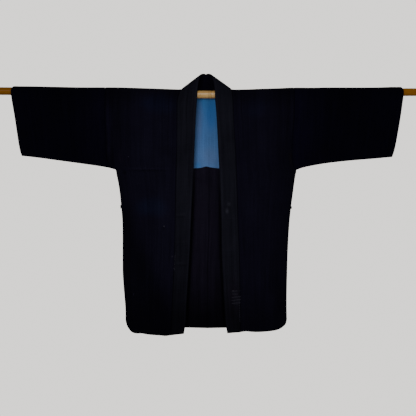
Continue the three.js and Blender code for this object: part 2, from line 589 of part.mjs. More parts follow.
const jacket = new THREE.Group();
const endOfRight = ROD_JOINT - SEAM_GAP / 2;
const startOfLeft = ROD_JOINT + SEAM_GAP / 2;
jacket.add(named('rod_right', rodLength(-ROD_LENGTH / 2, endOfRight), matte('#a3884f', 0.55)));
jacket.add(named('rod_left', rodLength(startOfLeft, ROD_LENGTH / 2), matte('#a3884f', 0.55)));
jacket.add(named('collar_band', collar(), matte('#14141b', 0.9)));
for (const side of SIDES) {
  jacket.add(named(`body_${side.name}`, bodyHalf(side), matte('#0a0b15', 0.92)));
  jacket.add(named(`sleeve_${side.name}`, sleeve(side), matte('#060610', 0.92)));
  jacket.add(named(`shoulder_lining_${side.name}`, shoulderLining(side), matte('#2c5581', 0.88)));
}

export default jacket;
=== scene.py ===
"""Dresses the hanten jacket and its rod: cloth, stitches, wood, light and camera."""
import math

import bmesh
import bpy
import numpy as np
from bpy.props import FloatProperty, FloatVectorProperty, IntProperty, PointerProperty
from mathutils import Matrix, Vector


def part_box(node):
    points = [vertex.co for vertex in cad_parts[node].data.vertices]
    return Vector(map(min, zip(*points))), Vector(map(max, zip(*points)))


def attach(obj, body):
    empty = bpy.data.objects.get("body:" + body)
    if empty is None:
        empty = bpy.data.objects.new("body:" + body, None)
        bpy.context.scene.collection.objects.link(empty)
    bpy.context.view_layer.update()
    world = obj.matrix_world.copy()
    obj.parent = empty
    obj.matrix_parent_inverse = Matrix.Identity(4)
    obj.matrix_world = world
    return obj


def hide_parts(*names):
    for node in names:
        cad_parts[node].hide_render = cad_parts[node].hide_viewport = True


bl_info = {
    "name": "Hanten jacket on a rod",
    "version": (1, 0, 0),
    "blender": (4, 5, 0),
    "location": "3D View > Sidebar > Hanten",
    "description": "Dresses the hanten jacket and its rod with cloth, stitches, wood and light",
    "category": "Object",
}

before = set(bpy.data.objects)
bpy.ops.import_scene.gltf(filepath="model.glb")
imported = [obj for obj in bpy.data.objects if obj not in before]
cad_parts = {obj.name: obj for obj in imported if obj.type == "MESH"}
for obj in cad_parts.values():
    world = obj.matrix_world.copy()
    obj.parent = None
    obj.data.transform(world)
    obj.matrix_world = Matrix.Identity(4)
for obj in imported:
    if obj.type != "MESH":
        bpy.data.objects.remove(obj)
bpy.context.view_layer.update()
MM = 0.001
SIDES = {"right": -1, "left": 1}
SHEETS = {}  # the sheet of each cut piece, by its kind and side
NEVER_SHARP = math.pi + 0.1  # an angle that no two faces reach
COLLAR_SHARP = math.radians(46)  # an angle that only the band's own edges reach

# ---- What the solids measure ----
CLOTH_WALL = 2.2 * MM
LINING_WALL = 1.0 * MM
LINING_TOP = -2 * MM
LINING_LOWER_EDGE = -237 * MM
ROD_RADIUS = 12.5 * MM
ROD_HALF = 0.7
ROD_RISE = 9.2 * MM  # how much higher its ends are than its sagging middle

# How many rows and columns of points each solid's faces have.
BODY_GRID = (55, 11)
SLEEVE_GRID = (29, 9)
COLLAR_GRID = (59, 4)
LINING_GRID = (7, 7)

# ---- Hems, edges and stitches ----
HEM_WIDTH = 13 * MM
HEM_HEIGHT = 0.35 * MM
HEM_STITCHES = 12.6 * MM  # from the edge
COLLAR_FELL, LINING_FELL = 3.2 * MM, 2.2 * MM  # from the edge to the stitches that fell it
ALLOWANCE_HEIGHT = 0.3 * MM
SEAM_OVERLAP = 0.2 * MM
SEAM_EASE = 9 * MM  # how far from a seam the cloth is drawn to it
COLLAR_REACH, ARMHOLE_REACH, CENTRE_REACH = 6 * MM, 2.5 * MM, 1.2 * MM
DARKEST_TINT = 0.02
EDGE_WEAR_AND_PAINTED_SHADE = 4 * MM  # reach of a worn hem or cuff, and of painted shade beside a seam
LINING_NOTCH = -4.8 * MM  # where the lining's lower edge is drawn up

# Gathers beside lines of stitches: pitch, depth and reach, in metres, and a seed.
SIDE_SEAM_PUCKERS = (0.017, 0.5 * MM, 0.010, 60)
CENTRE_SEAM_PUCKERS = (0.021, 0.35 * MM, 0.009, 70)
HEM_PUCKERS = (0.024, 0.45 * MM, 0.014, 80)
ARMHOLE_PUCKERS = (0.016, 0.5 * MM, 0.010, 90)
CUFF_PUCKERS = (0.026, 0.4 * MM, 0.014, 95)
UNDERARM_PUCKERS = (0.02, 0.4 * MM, 0.010, 97)
COLLAR_PUCKERS = (0.019, 0.4 * MM, 0.012, 101)

# Distances from an edge, in mm, at which a sheet is divided more finely.
EDGE_STEPS = (0, 0.12, 0.45, 1.1, 2, 3.2, 4.8, 6.6, 8.8, 11.2)

# ---- Creases of the hanging cloth, in mm ----
# (layer, from x, from z, to x, to z, half width, rise): soft ridges and, with a rise
# under 0, troughs. "front" and "back" are the two layers of the jacket.
CREASES = (
    # Drag lines from the sleeve seams down into the armpits.
    ("front", -330, -30, -300, -205, 7, 1.3),
    ("front", -338, -70, -310, -215, 5, -1.1),
    ("front", -366, -72, -312, -222, 6, 1.0),
    ("front", -392, -96, -322, -226, 6, -1.2),
    ("front", -420, -120, -330, -229, 7, 0.9),
    ("front", -300, -60, -283, -232, 5, -1.0),
    ("front", -284, -90, -272, -250, 6, 1.1),
    ("front", -262, -120, -262, -262, 6, -0.8),
    ("front", -246, -150, -254, -280, 5, 0.7),
    ("front", 296, -34, 281, -206, 7, 1.2),
    ("front", 312, -74, 290, -214, 5, -1.1),
    ("front", 336, -66, 296, -220, 6, 1.0),
    ("front", 366, -92, 306, -224, 7, -1.1),
    ("front", 398, -118, 318, -226, 7, 0.9),
    ("front", 262, -62, 268, -230, 5, -0.9),
    ("front", 244, -92, 260, -246, 6, 1.0),
    ("front", 226, -124, 250, -262, 6, -0.7),
    ("back", -334, -36, -304, -208, 7, 1.2),
    ("back", -350, -80, -316, -218, 6, -1.1),
    ("back", -384, -88, -326, -226, 7, 1.0),
    ("back", -296, -70, -280, -230, 5, -0.9),
    ("back", -272, -110, -268, -254, 6, 0.9),
    ("back", 300, -40, 284, -208, 7, 1.1),
    ("back", 326, -82, 298, -218, 6, -1.0),
    ("back", 356, -96, 310, -224, 7, 1.0),
    ("back", 256, -74, 266, -232, 5, -0.9),
    ("back", 236, -112, 254, -250, 6, 0.9),
    # Sleeves: slack that hangs from the rod.
    ("front", -480, -14, -470, -190, 16, 1.0),
    ("front", -510, -20, -500, -180, 10, -0.9),
    ("front", -575, -24, -556, -180, 14, 0.8),
    ("front", -430, -20, -420, -160, 9, -0.7),
    ("front", 462, -16, 448, -190, 15, 1.0),
    ("front", 492, -22, 478, -180, 10, -0.9),
    ("front", 560, -26, 546, -178, 13, 0.8),
    ("front", 402, -22, 388, -150, 9, -0.7),
    ("back", -460, -14, -450, -190, 15, 1.0),
    ("back", -498, -20, -486, -184, 10, -0.9),
    ("back", -560, -22, -544, -180, 13, 0.8),
    ("back", 446, -16, 436, -188, 15, 1.0),
    ("back", 484, -20, 474, -182, 10, -0.9),
    ("back", 552, -24, 538, -178, 13, 0.8),
    # Long vertical waves of the fronts.
    ("front", -238, -290, -232, -700, 12, 1.0),
    ("front", -186, -250, -182, -740, 10, -0.9),
    ("front", -172, -60, -176, -420, 9, 0.7),
    ("front", -140, -120, -136, -560, 8, -0.8),
    ("front", -122, -300, -128, -745, 8, 0.9),
    ("front", 228, -300, 226, -690, 12, 0.9),
    ("front", 178, -240, 184, -730, 10, -0.9),
    ("front", 162, -50, 160, -400, 9, 0.7),
    ("front", 128, -110, 132, -540, 8, -0.8),
    ("front", 122, -280, 126, -730, 8, 0.8),
    # Ties of the shoulder line and the collar.
    ("front", -110, 0, -150, -96, 7, 0.8),
    ("front", -98, -18, -118, -130, 6, -0.8),
    ("front", 100, 0, 136, -92, 7, 0.8),
    ("front", 92, -20, 108, -126, 6, -0.7),
    # Long vertical waves of the back.
    ("back", -240, -280, -236, -700, 13, 1.0),
    ("back", -150, -180, -154, -720, 11, -1.0),
    ("back", -60, -120, -64, -640, 10, 0.9),
    ("back", -24, -250, -20, -725, 8, -0.7),
    ("back", 26, -240, 22, -725, 8, 0.7),
    ("back", 66, -130, 70, -650, 10, -0.9),
    ("back", 148, -190, 152, -720, 11, 0.9),
    ("back", 232, -280, 230, -700, 12, -0.9),
    # Short wrinkles across the collar band.
    ("collar", -96, -236, -48, -240, 4, 0.5),
    ("collar", -98, -372, -56, -366, 3.5, -0.6),
    ("collar", -100, -384, -62, -388, 4, 0.55),
    ("collar", -84, -410, -52, -404, 3.5, -0.5),
    ("collar", -102, -470, -70, -476, 4, 0.5),
    ("collar", -108, -552, -62, -546, 4, -0.6),
    ("collar", -112, -612, -70, -618, 5, 0.6),
    ("collar", -106, -676, -70, -668, 5, -0.5),
    ("collar", 44, -150, 84, -146, 4, -0.5),
    ("collar", 46, -262, 88, -268, 4, 0.55),
    ("collar", 50, -342, 92, -336, 4, -0.55),
    ("collar", 58, -372, 96, -380, 5, 0.7),
    ("collar", 52, -452, 98, -446, 4, -0.5),
    ("collar", 60, -540, 100, -548, 4, 0.5),
    ("collar", 58, -628, 102, -622, 4, -0.6),
    ("collar", 60, -694, 102, -700, 5, 0.6),
    # Dents where the sides are pulled by the tacks.
    ("front", -266, -352, -205, -372, 8, -1.0),
    ("front", 260, -351, 200, -366, 8, -1.0),
    ("back", -266, -352, -212, -366, 8, -0.9),
    ("back", 260, -351, 208, -368, 8, -0.9),
)

# The edge of a doubled layer inside shows as a low step: (layer, x, x, z, height).
STEPS = (("front", -249, -101, -237, 0.55), ("front", 96, 232, -238, 0.3))

# Gentle unevenness: height, and the size of a swell across and down, in metres, and a seed.
WAVES = ((0.55 * MM, 0.075, 0.16, 0), (0.28 * MM, 0.026, 0.11, 10), (0.1 * MM, 0.0095, 0.06, 20))

# The same for the band, along it and across it.
COLLAR_WAVES = ((0.35 * MM, 0.045, 0.03, 102), (0.2 * MM, 0.09, 0.008, 103))

# ---- Fading, wear, and painted highlights and shade, in mm ----
# (layer, x, z, half width, half height, red, green, blue): how much brighter each
# colour is in the middle of the patch.
FADES_AND_PAINTED_LIGHT = (
    # Faded shoulders and right front (bluish); painted highlights over the fronts' middles (grey).
    ("front", -156, -30, 62, 34, 0.05, 0.35, 0.55),
    ("front", -180, -356, 52, 34, 0.0, 0.4, 0.55),
    ("front", -170, -180, 66, 130, 0.15, 0.2, 0.15),
    ("front", -128, -420, 44, 220, 0.2, 0.25, 0.2),
    ("front", 170, -300, 70, 200, 0.1, 0.12, 0.08),
    ("front", 150, -44, 46, 32, 0.0, 0.12, 0.2),
    # Painted highlights on ridges by the sleeve seams, and painted light and shade on armpit
    # folds.
    ("front", -309, -85, 12, 95, 0.45, 0.4, 0.6),
    ("front", 266, -90, 11, 90, 0.25, 0.25, 0.35),
    ("front", -296, -200, 5, 34, -0.3, -0.3, -0.3),
    ("front", -308, -172, 4, 26, 0.3, 0.25, 0.2),
    ("front", -272, -200, 7, 22, 0.3, 0.2, 0.15),
    ("front", -260, -246, 9, 8, -0.3, -0.3, -0.3),
    ("front", 263, -140, 5, 30, -0.3, -0.3, -0.25),
    ("front", 262, -197, 7, 24, 0.3, 0.25, -0.1),
    # Rubbed places of the collar band.
    ("collar", 63, -367, 6, 9, 1.5, 1.5, 1.3),
    ("collar", 69, -345, 6, 8, 1.1, 1.1, 0.9),
    ("collar", -70, -300, 22, 60, 0.12, 0.12, 0.1),
    ("collar", 70, -180, 22, 50, 0.1, 0.1, 0.08),
    # Painted highlight over painted shade at the lining's edge, felt through the front; a dark
    # spot.
    ("front", -178, -234, 72, 3, 0.4, 0.4, 0.35),
    ("front", -178, -241, 72, 4, -0.3, -0.3, -0.3),
    ("front", -136, -422, 8, 6, -0.35, -0.35, -0.35),
    # The band's mended end, and folds across it: painted highlights on top, painted shade below
    # two.
    ("collar", 84, -640, 26, 90, 0.12, -0.06, 0.02),
    ("collar", -80, -379, 22, 3.4, 0.35, 0.35, 0.3),
    ("collar", -80, -386, 22, 3.4, -0.25, -0.25, -0.25),
    ("collar", -82, -463, 24, 3.2, 0.25, 0.25, 0.2),
    ("collar", -84, -531, 24, 3.4, 0.3, 0.3, 0.25),
    ("collar", -84, -538, 24, 3.4, -0.22, -0.22, -0.22),
    ("collar", 76, -390, 20, 3.4, 0.28, 0.28, 0.22),
    ("collar", 74, -330, 20, 3.2, 0.2, 0.2, 0.16),
    # Yellowed, faded and darker places of the lining; painted highlights on the back's middles.
    ("lining", -27, -85, 15, 80, 0.6, 0.0, -0.08),
    ("lining", 12, -190, 32, 34, 0.14, -0.02, -0.07),
    ("lining", -30, -222, 14, 15, -0.35, 0.0, 0.1),
    ("lining", 12, -66, 18, 62, -0.25, -0.06, 0.08),
    ("back", -120, -330, 120, 190, 0.15, 0.2, 0.15),
    ("back", 130, -300, 110, 180, 0.15, 0.2, 0.15),
)

# Painted shade and other changes of brightness, in mm: (from x, from z, to x, to z, share kept),
# each growing from the first place to the second and the same beyond it, on the second's side.
# Painted shade to the side seams, hem and top; darker below a slant on the lower right front.
BODY_SHADES = (
    (-200, 0, -318, 0, 0.62),
    (165, 0, 285, 0, 0.62),
    (-163, -499, -220, -523, 0.6),
    (0, -530, 0, -770, 0.52),
    (0, -60, 0, 10, 0.66),
)
# Brighter towards the armholes; painted shade on the tops of the sleeves.
SLEEVE_SHADES = (
    (-430, 0, -325, 0, 1.4),
    (400, 0, 275, 0, 1.75),
    (0, -36, 0, 16, 0.85),
)
# Painted shade on the top of the band; darker towards its lower ends, most on the right.
COLLAR_SHADES = (
    (0, -30, 0, 24, 0.85),
    (-60, -380, -95, -560, 0.84),
    (0, -540, 0, -720, 0.46),
)
# Painted shade, deeper down inside the back.
INSIDE_SHADES = ((0, -60, 0, -500, 0.8), (0, -500, 0, -740, 0.45))
INSIDE_TINT = (2.05, 1.95, 1.6)  # the back's inner face, next to its outer face
NECK_PAINTED_SHADE = (0.36, 0.29, 0.55)  # painted shade on the band's inner face behind the neck
LINING_TOP_TINT = (0.44, 0.8, 0.88)
LINING_LOW_TINT = (1.25, 1.07, 1.0)

# ---- Mends, tacks and specks, as places (x, z) on the front, in mm ----
MEND_HATCH = ((89.5, -618), (89.5, -638), (89, -656))
# Painted shadows between the strokes of the hatching.
MEND_HATCH_SHADOWS = ((89, -622.3), (89.5, -642), (90, -660.3))
MEND_LINES = (
    ((101.5, -636), (103, -680), (104, -712)),
    ((-100, -508), (-101, -528), (-101.5, -552)),
)
MEND_BARS = ((-108, -509), (-104.5, -535), (-103, -546))
MEND_BAR_DROP = 2  # length of the line that holds the stitches of a bar
SIDE_TACKS = (-361, -349)  # lowest and highest point of the tacks at both side seams
COLLAR_SPECK = ((82.4, -617.2), (82.9, -618))
BODY_SPECK = (-135, -415)
FAINT_SPECKS = ((-229, -628), (-247, -197))

# The rod: how its lengths are divided, from the joint and from the end (mm), and its tints.
ROD_NEAR_JOINT = (0, 0.1, 0.4, 1, 1.8, 2.6, 3.1, 3.5, 4.2, 6, 9)
ROD_NEAR_END = (9, 4, 2, 1.2, 0.6, 0.2, 0)
ROD_STEPS = 150
ROD_GROOVE = 3.9 * MM  # from the joint to the dark groove beside the ring
ROD_SEEDS = {"right": 7, "left": 8}
ROD_WARMTH = {"right": 0.97, "left": 1.0}
ROD_TINT = (1.0, 0.97, 0.92)
ROD_END_TINT = (0.8, 0.75, 0.7)
ROD_ENDS_FROM = 0.45  # beyond this distance from the middle, darker wood: painted shade

# The stage: lights by name, share of the key light's power, size and place.
FLOOR_HALF = 2.2
SENSOR = 36
VIEW_CENTRE = (3.15 * MM, -13.8 * MM, -357.7 * MM)
LIT_POINT = (0, 0, -0.35)
LIGHTS = (
    ("key_light", 1, 1.5, (-0.9, -3.2, 0.45)),
    ("fill_light", 0.35, 2.2, (2.2, -2.4, 0.3)),
    ("back_light", 0.5, 2.4, (0.6, 3.0, 1.8)),
)
SKY_COLOUR = (1.0, 0.975, 0.93)
SKY_LIGHT, SKY_SEEN = 0.35, 1.47  # strength of its light, and of what the camera sees of it


# ---- Reading the solids' faces as grids of points ----
def smooth_islands(bm, wall, sharpest):
    """Groups of faces that join without a sharp edge between them, largest first.

    Faces with an edge as long as the wall is thick are the wall's rim, and are left out.
    """
    rim = [any(abs(e.calc_length() - wall) < 0.06 * wall for e in f.edges) for f in bm.faces]
    bm.faces.ensure_lookup_table()
    group = [0 if on_rim else -1 for on_rim in rim]
    islands = [[]]
    for start in range(len(bm.faces)):
        if group[start] >= 0:
            continue
        group[start] = len(islands)
        members, waiting = [], [bm.faces[start]]
        while waiting:
            face = waiting.pop()
            members.append(face)
            for edge in face.edges:
                for other in edge.link_faces:
                    joined = group[other.index] < 0
                    if joined and face.normal.angle(other.normal, math.pi) < sharpest:
                        group[other.index] = len(islands)
                        waiting.append(other)
        islands.append(members)
    return sorted(islands, key=len, reverse=True)


def lattice_places(faces):
    """A row and a column for each corner of faces that form a regular net of triangles.

    Across any edge, the two far corners and the edge's ends make a parallelogram in
    rows and columns, so one triangle gives the places of all the others.
    """
    inside = set(faces)
    count = {}
    for face in faces:
        for vert in face.verts:
            count.setdefault(vert, []).append(face)
    corner = next(
        vert
        for vert, around in count.items()
        if len(around) == 2 and len({e for f in around for e in f.edges if vert in e.verts}) == 3
        and sum(1 for e in vert.link_edges if sum(f in inside for f in e.link_faces) == 1) == 2
    )
    first, second = count[corner]
    shared = (set(first.verts) & set(second.verts)) - {corner}
    far = shared.pop()
    place = {corner: (0, 0), far: (1, 1)}
    place[next(v for v in first.verts if v not in place)] = (1, 0)
    place[next(v for v in second.verts if v not in place)] = (0, 1)
    waiting = [first, second]
    done = {first, second}
    while waiting:
        face = waiting.pop()
        for edge in face.edges:
            for other in edge.link_faces:
                if other in done or other not in inside:
                    continue
                known = next(v for v in face.verts if v not in edge.verts)
                new = next(v for v in other.verts if v not in edge.verts)
                a, b = (place[v] for v in edge.verts)
                place[new] = tuple(a[k] + b[k] - place[known][k] for k in (0, 1))
                done.add(other)
                waiting.append(other)
    return place


def face_grids(node_name, shape, wall, sharpest=NEVER_SHARP):
    """The two large faces of a solid's wall, each as an array of rows x columns points."""
    bm = bmesh.new()
    bm.from_mesh(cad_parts[node_name].data)
    bmesh.ops.remove_doubles(bm, verts=bm.verts, dist=1e-5)
    bm.normal_update()
    rows, columns = shape
    grids = []
    for faces in smooth_islands(bm, wall, sharpest)[:2]:
        if len(faces) != 2 * (rows - 1) * (columns - 1):
            raise RuntimeError(f"{node_name}: its faces aren't a {rows} x {columns} grid")
        place = lattice_places(faces)
        low = np.min(list(place.values()), axis=0)
        high = np.max(list(place.values()), axis=0)
        grid = np.zeros((*(high - low + 1), 3))
        for vert, (i, j) in place.items():
            grid[i - low[0], j - low[1]] = vert.co
        grids.append(grid if grid.shape[0] == rows else grid.transpose(1, 0, 2))
    bm.free()
    return grids


def turned(grid, flip_rows, flip_columns):
    """A grid with its rows or its columns in the opposite order, where asked."""
    grid = grid[::-1] if flip_rows else grid
    return grid[:, ::-1] if flip_columns else grid


# ---- Smooth, finely divided sheets ----
def along_curve(values, knots, places):
    """Values on a smooth curve through the rows of an array, at places along it."""
    knots, places = np.asarray(knots), np.asarray(places)
    before = np.maximum(np.arange(len(knots)) - 1, 0)
    after = np.minimum(np.arange(len(knots)) + 1, len(knots) - 1)
    extra = (1,) * (values.ndim - 1)
    slopes = (values[after] - values[before]) / (knots[after] - knots[before]).reshape(-1, *extra)
    i = np.clip(np.searchsorted(knots, places, side="right") - 1, 0, len(knots) - 2)
    step = (knots[i + 1] - knots[i]).reshape(-1, *extra)
    t = ((places - knots[i]).reshape(-1, *extra)) / step
    rise = values[i + 1] - values[i]
    early, late = slopes[i] * step, slopes[i + 1] * step
    return (
        values[i] + t * early + t * t * (3 * rise - 2 * early - late)
        + t * t * t * (early + late - 2 * rise)
    )


def mean_lengths(grid):
    """Mean distance along the rows of a grid, from its first row."""
    steps = np.linalg.norm(np.diff(grid, axis=0), axis=2).mean(axis=1)
    return np.concatenate([[0], np.cumsum(steps)])


def divisions(length, spacing):
    """Places from 0 to length, closer together near both ends."""
    steps = np.array(EDGE_STEPS) * MM
    inner = length - 2 * steps[-1]
    count = max(2, round(inner / spacing))
    middle = steps[-1] + inner * np.arange(1, count) / count
    return np.concatenate([steps, middle, (length - steps)[::-1]])


class Sheet:
    """A finely divided middle surface with its outward direction and edge distances."""

    def __init__(self, outer, inner, spacing):
        middle = (outer + inner) / 2
        outward = outer - inner
        outward /= np.linalg.norm(outward, axis=2, keepdims=True)
        down = mean_lengths(middle)
        across = mean_lengths(middle.transpose(1, 0, 2))
        self.down = divisions(down[-1], spacing[0])
        self.across = divisions(across[-1], spacing[1])
        both = np.concatenate([middle, outward], axis=2)
        both = along_curve(both, down, self.down)
        both = along_curve(both.transpose(1, 0, 2), across, self.across).transpose(1, 0, 2)
        self.points = both[..., :3]
        self.outward = both[..., 3:] / np.linalg.norm(both[..., 3:], axis=2, keepdims=True)
        self.from_start = np.broadcast_to(self.down[:, None], self.points.shape[:2])
        self.from_end = self.down[-1] - self.from_start
        self.from_near = np.broadcast_to(self.across[None, :], self.points.shape[:2])
        self.from_far = self.across[-1] - self.from_near

    @property
    def x(self):
        return self.points[..., 0]

    @property
    def y(self):
        return self.points[..., 1]

    @property
    def z(self):
        return self.points[..., 2]


def nearest_on(line, points):
    """The place on a polyline that is nearest to each point."""
    start, step = line[:-1], np.diff(line, axis=0)
    along = ((points[:, None] - start) * step).sum(axis=2) / (step**2).sum(axis=1)
    places = start + np.clip(along, 0, 1)[..., None] * step
    nearest = np.linalg.norm(points[:, None] - places, axis=2).argmin(axis=1)
    return places[np.arange(len(points)), nearest]


def sew(sheet, line, reach):
    """Draws a sheet's near edge to the line that it's sewn to, where it's in reach."""
    edge = sheet.points[:, 0]
    out = edge - sheet.points[:, 2]
    out /= np.linalg.norm(out, axis=1, keepdims=True)
    pull = nearest_on(line, edge) - edge
    near_enough = 1 - smoothstep(0.7 * reach, reach, np.linalg.norm(pull, axis=1, keepdims=True))
    pull = (pull + SEAM_OVERLAP * out) * near_enough
    sheet.points += pull[:, None] * (1 - smoothstep(0, SEAM_EASE, sheet.from_near))[..., None]


def smoothstep(low, high, value):
    """0 at low and beyond it, 1 at high, and a soft rise between them."""
    t = np.clip((value - low) / (high - low), 0, 1)
    return t * t * (3 - 2 * t)


def bump(distance, width):
    """1 at no distance, softly down to 0 at a width."""
    return np.cos(np.clip(distance / width, 0, 1) * math.pi / 2) ** 2


def soft_noise(x, y, seed):
    """Smooth random heights between -1 and 1 with one cell to a unit."""
    table = np.random.default_rng(seed).uniform(-1, 1, (64, 64))
    i, j = np.floor(x).astype(int), np.floor(y).astype(int)
    u, v = x - i, y - j
    u, v = u * u * (3 - 2 * u), v * v * (3 - 2 * v)

    def row(b):
        return table[i % 64, b % 64] * (1 - u) + table[(i + 1) % 64, b % 64] * u

    return row(j) * (1 - v) + row(j + 1) * v


def crease(x, z, x0, z0, x1, z1, width, rise):
    """The lift of one crease: a ridge or trough along a slightly bent line."""
    ax, az = x - x0 * MM, z - z0 * MM
    dx, dz = (x1 - x0) * MM, (z1 - z0) * MM
    length = math.hypot(dx, dz)
    t = np.clip((ax * dx + az * dz) / length**2, -0.15, 1.15)
    bend = 0.05 * length * np.sin(math.pi * np.clip(t, 0, 1)) * (1 if rise > 0 else -1)
    side = (ax * dz - az * dx) / length
    past = np.maximum(0, np.abs(t - 0.5) - 0.5) * length
    away = np.hypot(side - bend, past)
    swell = np.sin(math.pi * np.clip((t + 0.15) / 1.3, 0, 1)) ** 0.7
    return rise * MM * bump(away, 2 * width * MM) * swell


def low_step(x, z, x0, x1, z0, height):
    """The lift over a doubled layer inside: sharpest at its lower edge, gone further up."""
    wander = 1.6 * MM * soft_noise(x / 0.05, z * 0, 5)
    begun = smoothstep(x0 * MM, (x0 + 18) * MM, x)
    inside = begun * (1 - smoothstep((x1 - 18) * MM, x1 * MM, x))
    above = smoothstep(-2.5 * MM, 2.5 * MM, z - z0 * MM + wander)
    fading = 1 - smoothstep(40 * MM, 150 * MM, z - z0 * MM)
    return height * MM * inside * above * fading


def hang_relief(x, z, layer, unevenness=1):
    """How far the creases lift the cloth, in metres, at places of one layer."""
    relief = np.zeros_like(x)
    for name, *measures in CREASES:
        if name == layer:
            relief += crease(x, z, *measures)
    for name, *measures in STEPS:
        if name == layer:
            relief += low_step(x, z, *measures)
    number = 1 if layer == "front" else 2
    waves = sum(
        height * soft_noise(x / across, z / down, number + seed)
        for height, across, down, seed in WAVES
    )
    return relief + unevenness * waves


def free_of_rod(sheet):
    """0 over the rod, 1 where the cloth hangs free below it."""
    return smoothstep(4 * MM, -36 * MM, sheet.z)


def apart(sheet):
    """0 where front and back are sewn together, 1 where they hang apart."""
    return smoothstep(1.8 * MM, 8.5 * MM, np.abs(sheet.y))


def below_lining(sheet):
    """0 beside the lining, 1 well below it."""
    return smoothstep(-210 * MM, -380 * MM, sheet.z)


def lay_relief(sheet, share=1.0):
    """Moves a sheet's points by the creases of the layer that each belongs to."""
    front = sheet.y < 0
    relief = np.where(
        front, hang_relief(sheet.x, sheet.z, "front"), hang_relief(sheet.x, sheet.z, "back")
    )
    lift = relief * share * free_of_rod(sheet) * apart(sheet)
    sheet.points[..., 1] += np.where(front, -lift, lift)


def puckers(along, away, measures, number=0):
    """Small gathers beside a line of stitches, in their own order for each number."""
    pitch, depth, reach, seed = measures
    seed += number
    phase = along / pitch + 0.9 * soft_noise(along / (3.1 * pitch), along * 0, seed)
    strength = 0.6 + 0.4 * soft_noise(along / (5 * pitch), along * 0, seed + 1)
    wave = np.sin(2 * math.pi * phase) * strength
    return depth * wave * np.exp(-away / reach) * smoothstep(0, 2.2 * MM, away)


def shade_of(sheet, shades):
    """Share of the colour's brightness kept: mostly painted shade, and brighter where a share is
    over 1.
    """
    share = np.ones(sheet.x.shape)
    for x0, z0, x1, z1, kept in shades:
        dx, dz = (x1 - x0) * MM, (z1 - z0) * MM
        along = ((sheet.x - x0 * MM) * dx + (sheet.z - z0 * MM) * dz) / (dx * dx + dz * dz)
        along = along + 0.12 * soft_noise(sheet.x / 0.04, sheet.z / 0.06, 41)
        own_side = (x1 == 0) | (sheet.x * x1 > 0)
        share *= 1 + (kept - 1) * smoothstep(0, 1, along) * own_side
    return share[..., None]


def edged(away, width, amount):
    """Brightness by an edge: over 1 at worn hems, cuffs and painted highlights; under 1, painted
    shade.
    """
    return (1 + amount * bump(away, width))[..., None]


def tint_of(sheet, shades, layers=("front", "back")):
    """Brightness of each colour: patches of fading, wear and painted light, times the painted
    shade.
    """
    tint = np.ones((*sheet.x.shape, 3))
    for layer, x, z, wide, high, *colour in FADES_AND_PAINTED_LIGHT:
        if layer not in layers:
            continue
        on_layer = sheet.y >= 0 if layer in ("back", "lining") else sheet.y < 0
        edge = 0.22 * soft_noise(sheet.x / 0.03, sheet.z / 0.03, 40)
        away = np.hypot((sheet.x - x * MM) / (wide * MM), (sheet.z - z * MM) / (high * MM)) + edge
        amount = on_layer * (1 - smoothstep(0.25, 1.25, away))
        tint += amount[..., None] * np.array(colour)
    return tint * shade_of(sheet, shades)


def closed_shell(name, sheet, wall, material, *, lift=0.0, drop=0.0, tuck=0.0, tint, inside=1.0):
    """A closed skin of a sheet: rounded at its edges, with its wall's thickness.

    lift and drop are added to its outer and inner faces, tuck moves both inwards, and
    inside is the inner face's brightness next to the outer one's. The faces are kept on
    the sheet, for its stitches.
    """
    nearest = np.minimum.reduce(
        [sheet.from_start, sheet.from_end, sheet.from_near, sheet.from_far]
    )
    half = wall / 2
    within = np.clip(1 - nearest / (half + 1e-9), 0, 1)
    rounded = np.sqrt(1 - within**2)
    centre = sheet.points - sheet.outward * np.broadcast_to(tuck, nearest.shape)[..., None]
    outer = centre + sheet.outward * ((half + lift) * rounded)[..., None]
    inner = centre - sheet.outward * ((half + drop) * rounded)[..., None]
    sheet.faces = {"outer": outer, "inner": inner}
    points = both_skins(outer, inner)
    tiles = shell_tiles(*nearest.shape, points)
    mesh = bpy.data.meshes.new(name)
    mesh.from_pydata(points.tolist(), [], tiles)
    smoothed(mesh)
    mesh.update()
    place = np.stack([sheet.from_near, sheet.from_start], axis=-1)
    place = both_skins(place, place)[np.concatenate(tiles)]
    layer = mesh.uv_layers.new(name="cloth")
    layer.uv.foreach_set("vector", place.astype(np.float32).reshape(-1))
    paint(mesh, np.maximum(both_skins(tint, tint * inside), DARKEST_TINT))
    return added(name, mesh, material)


def both_skins(outer, inner):
    """Values at the points of a shell: all of the outer skin's, then the inner's own."""
    kinds = outer.shape[-1]
    return np.concatenate([outer.reshape(-1, kinds), inner[1:-1, 1:-1].reshape(-1, kinds)])


def shell_tiles(rows, columns, points):
    """The faces of a shell whose two skins share their border, pointing outwards."""
    numbers = np.arange(rows * columns).reshape(rows, columns)
    under = numbers.copy()
    own = np.arange((rows - 2) * (columns - 2)).reshape(rows - 2, -1)
    under[1:-1, 1:-1] = rows * columns + own
    faces = np.concatenate([quads(numbers), quads(under)[:, ::-1]])
    if signed_volume(points, faces) < 0:
        faces = faces[:, ::-1]
    # Cut from one neighbour to the other, a corner's two skins would share a triangle.
    cornered = np.isin(faces, numbers[[0, 0, -1, -1], [0, -1, 0, -1]])
    at_corner = cornered.any(axis=1)
    tiles = faces[~at_corner].tolist()
    for quad, at in zip(faces[at_corner], np.nonzero(cornered)[1]):
        corner, before, across, after = np.roll(quad, -at).tolist()
        tiles += [[corner, before, across], [corner, across, after]]
    return tiles


def quads(numbers):
    """The four corners of each cell between rows and columns of numbered points."""
    cells = [numbers[:-1, :-1], numbers[1:, :-1], numbers[1:, 1:], numbers[:-1, 1:]]
    return np.stack(cells, axis=-1).reshape(-1, 4)


def signed_volume(points, faces):
    """Six times the volume inside the faces, under 0 if they point inwards."""
    a, b, c, d = (points[faces[:, k]] for k in range(4))
    return (np.cross(a, b) * c).sum() + (np.cross(a, c) * d).sum()


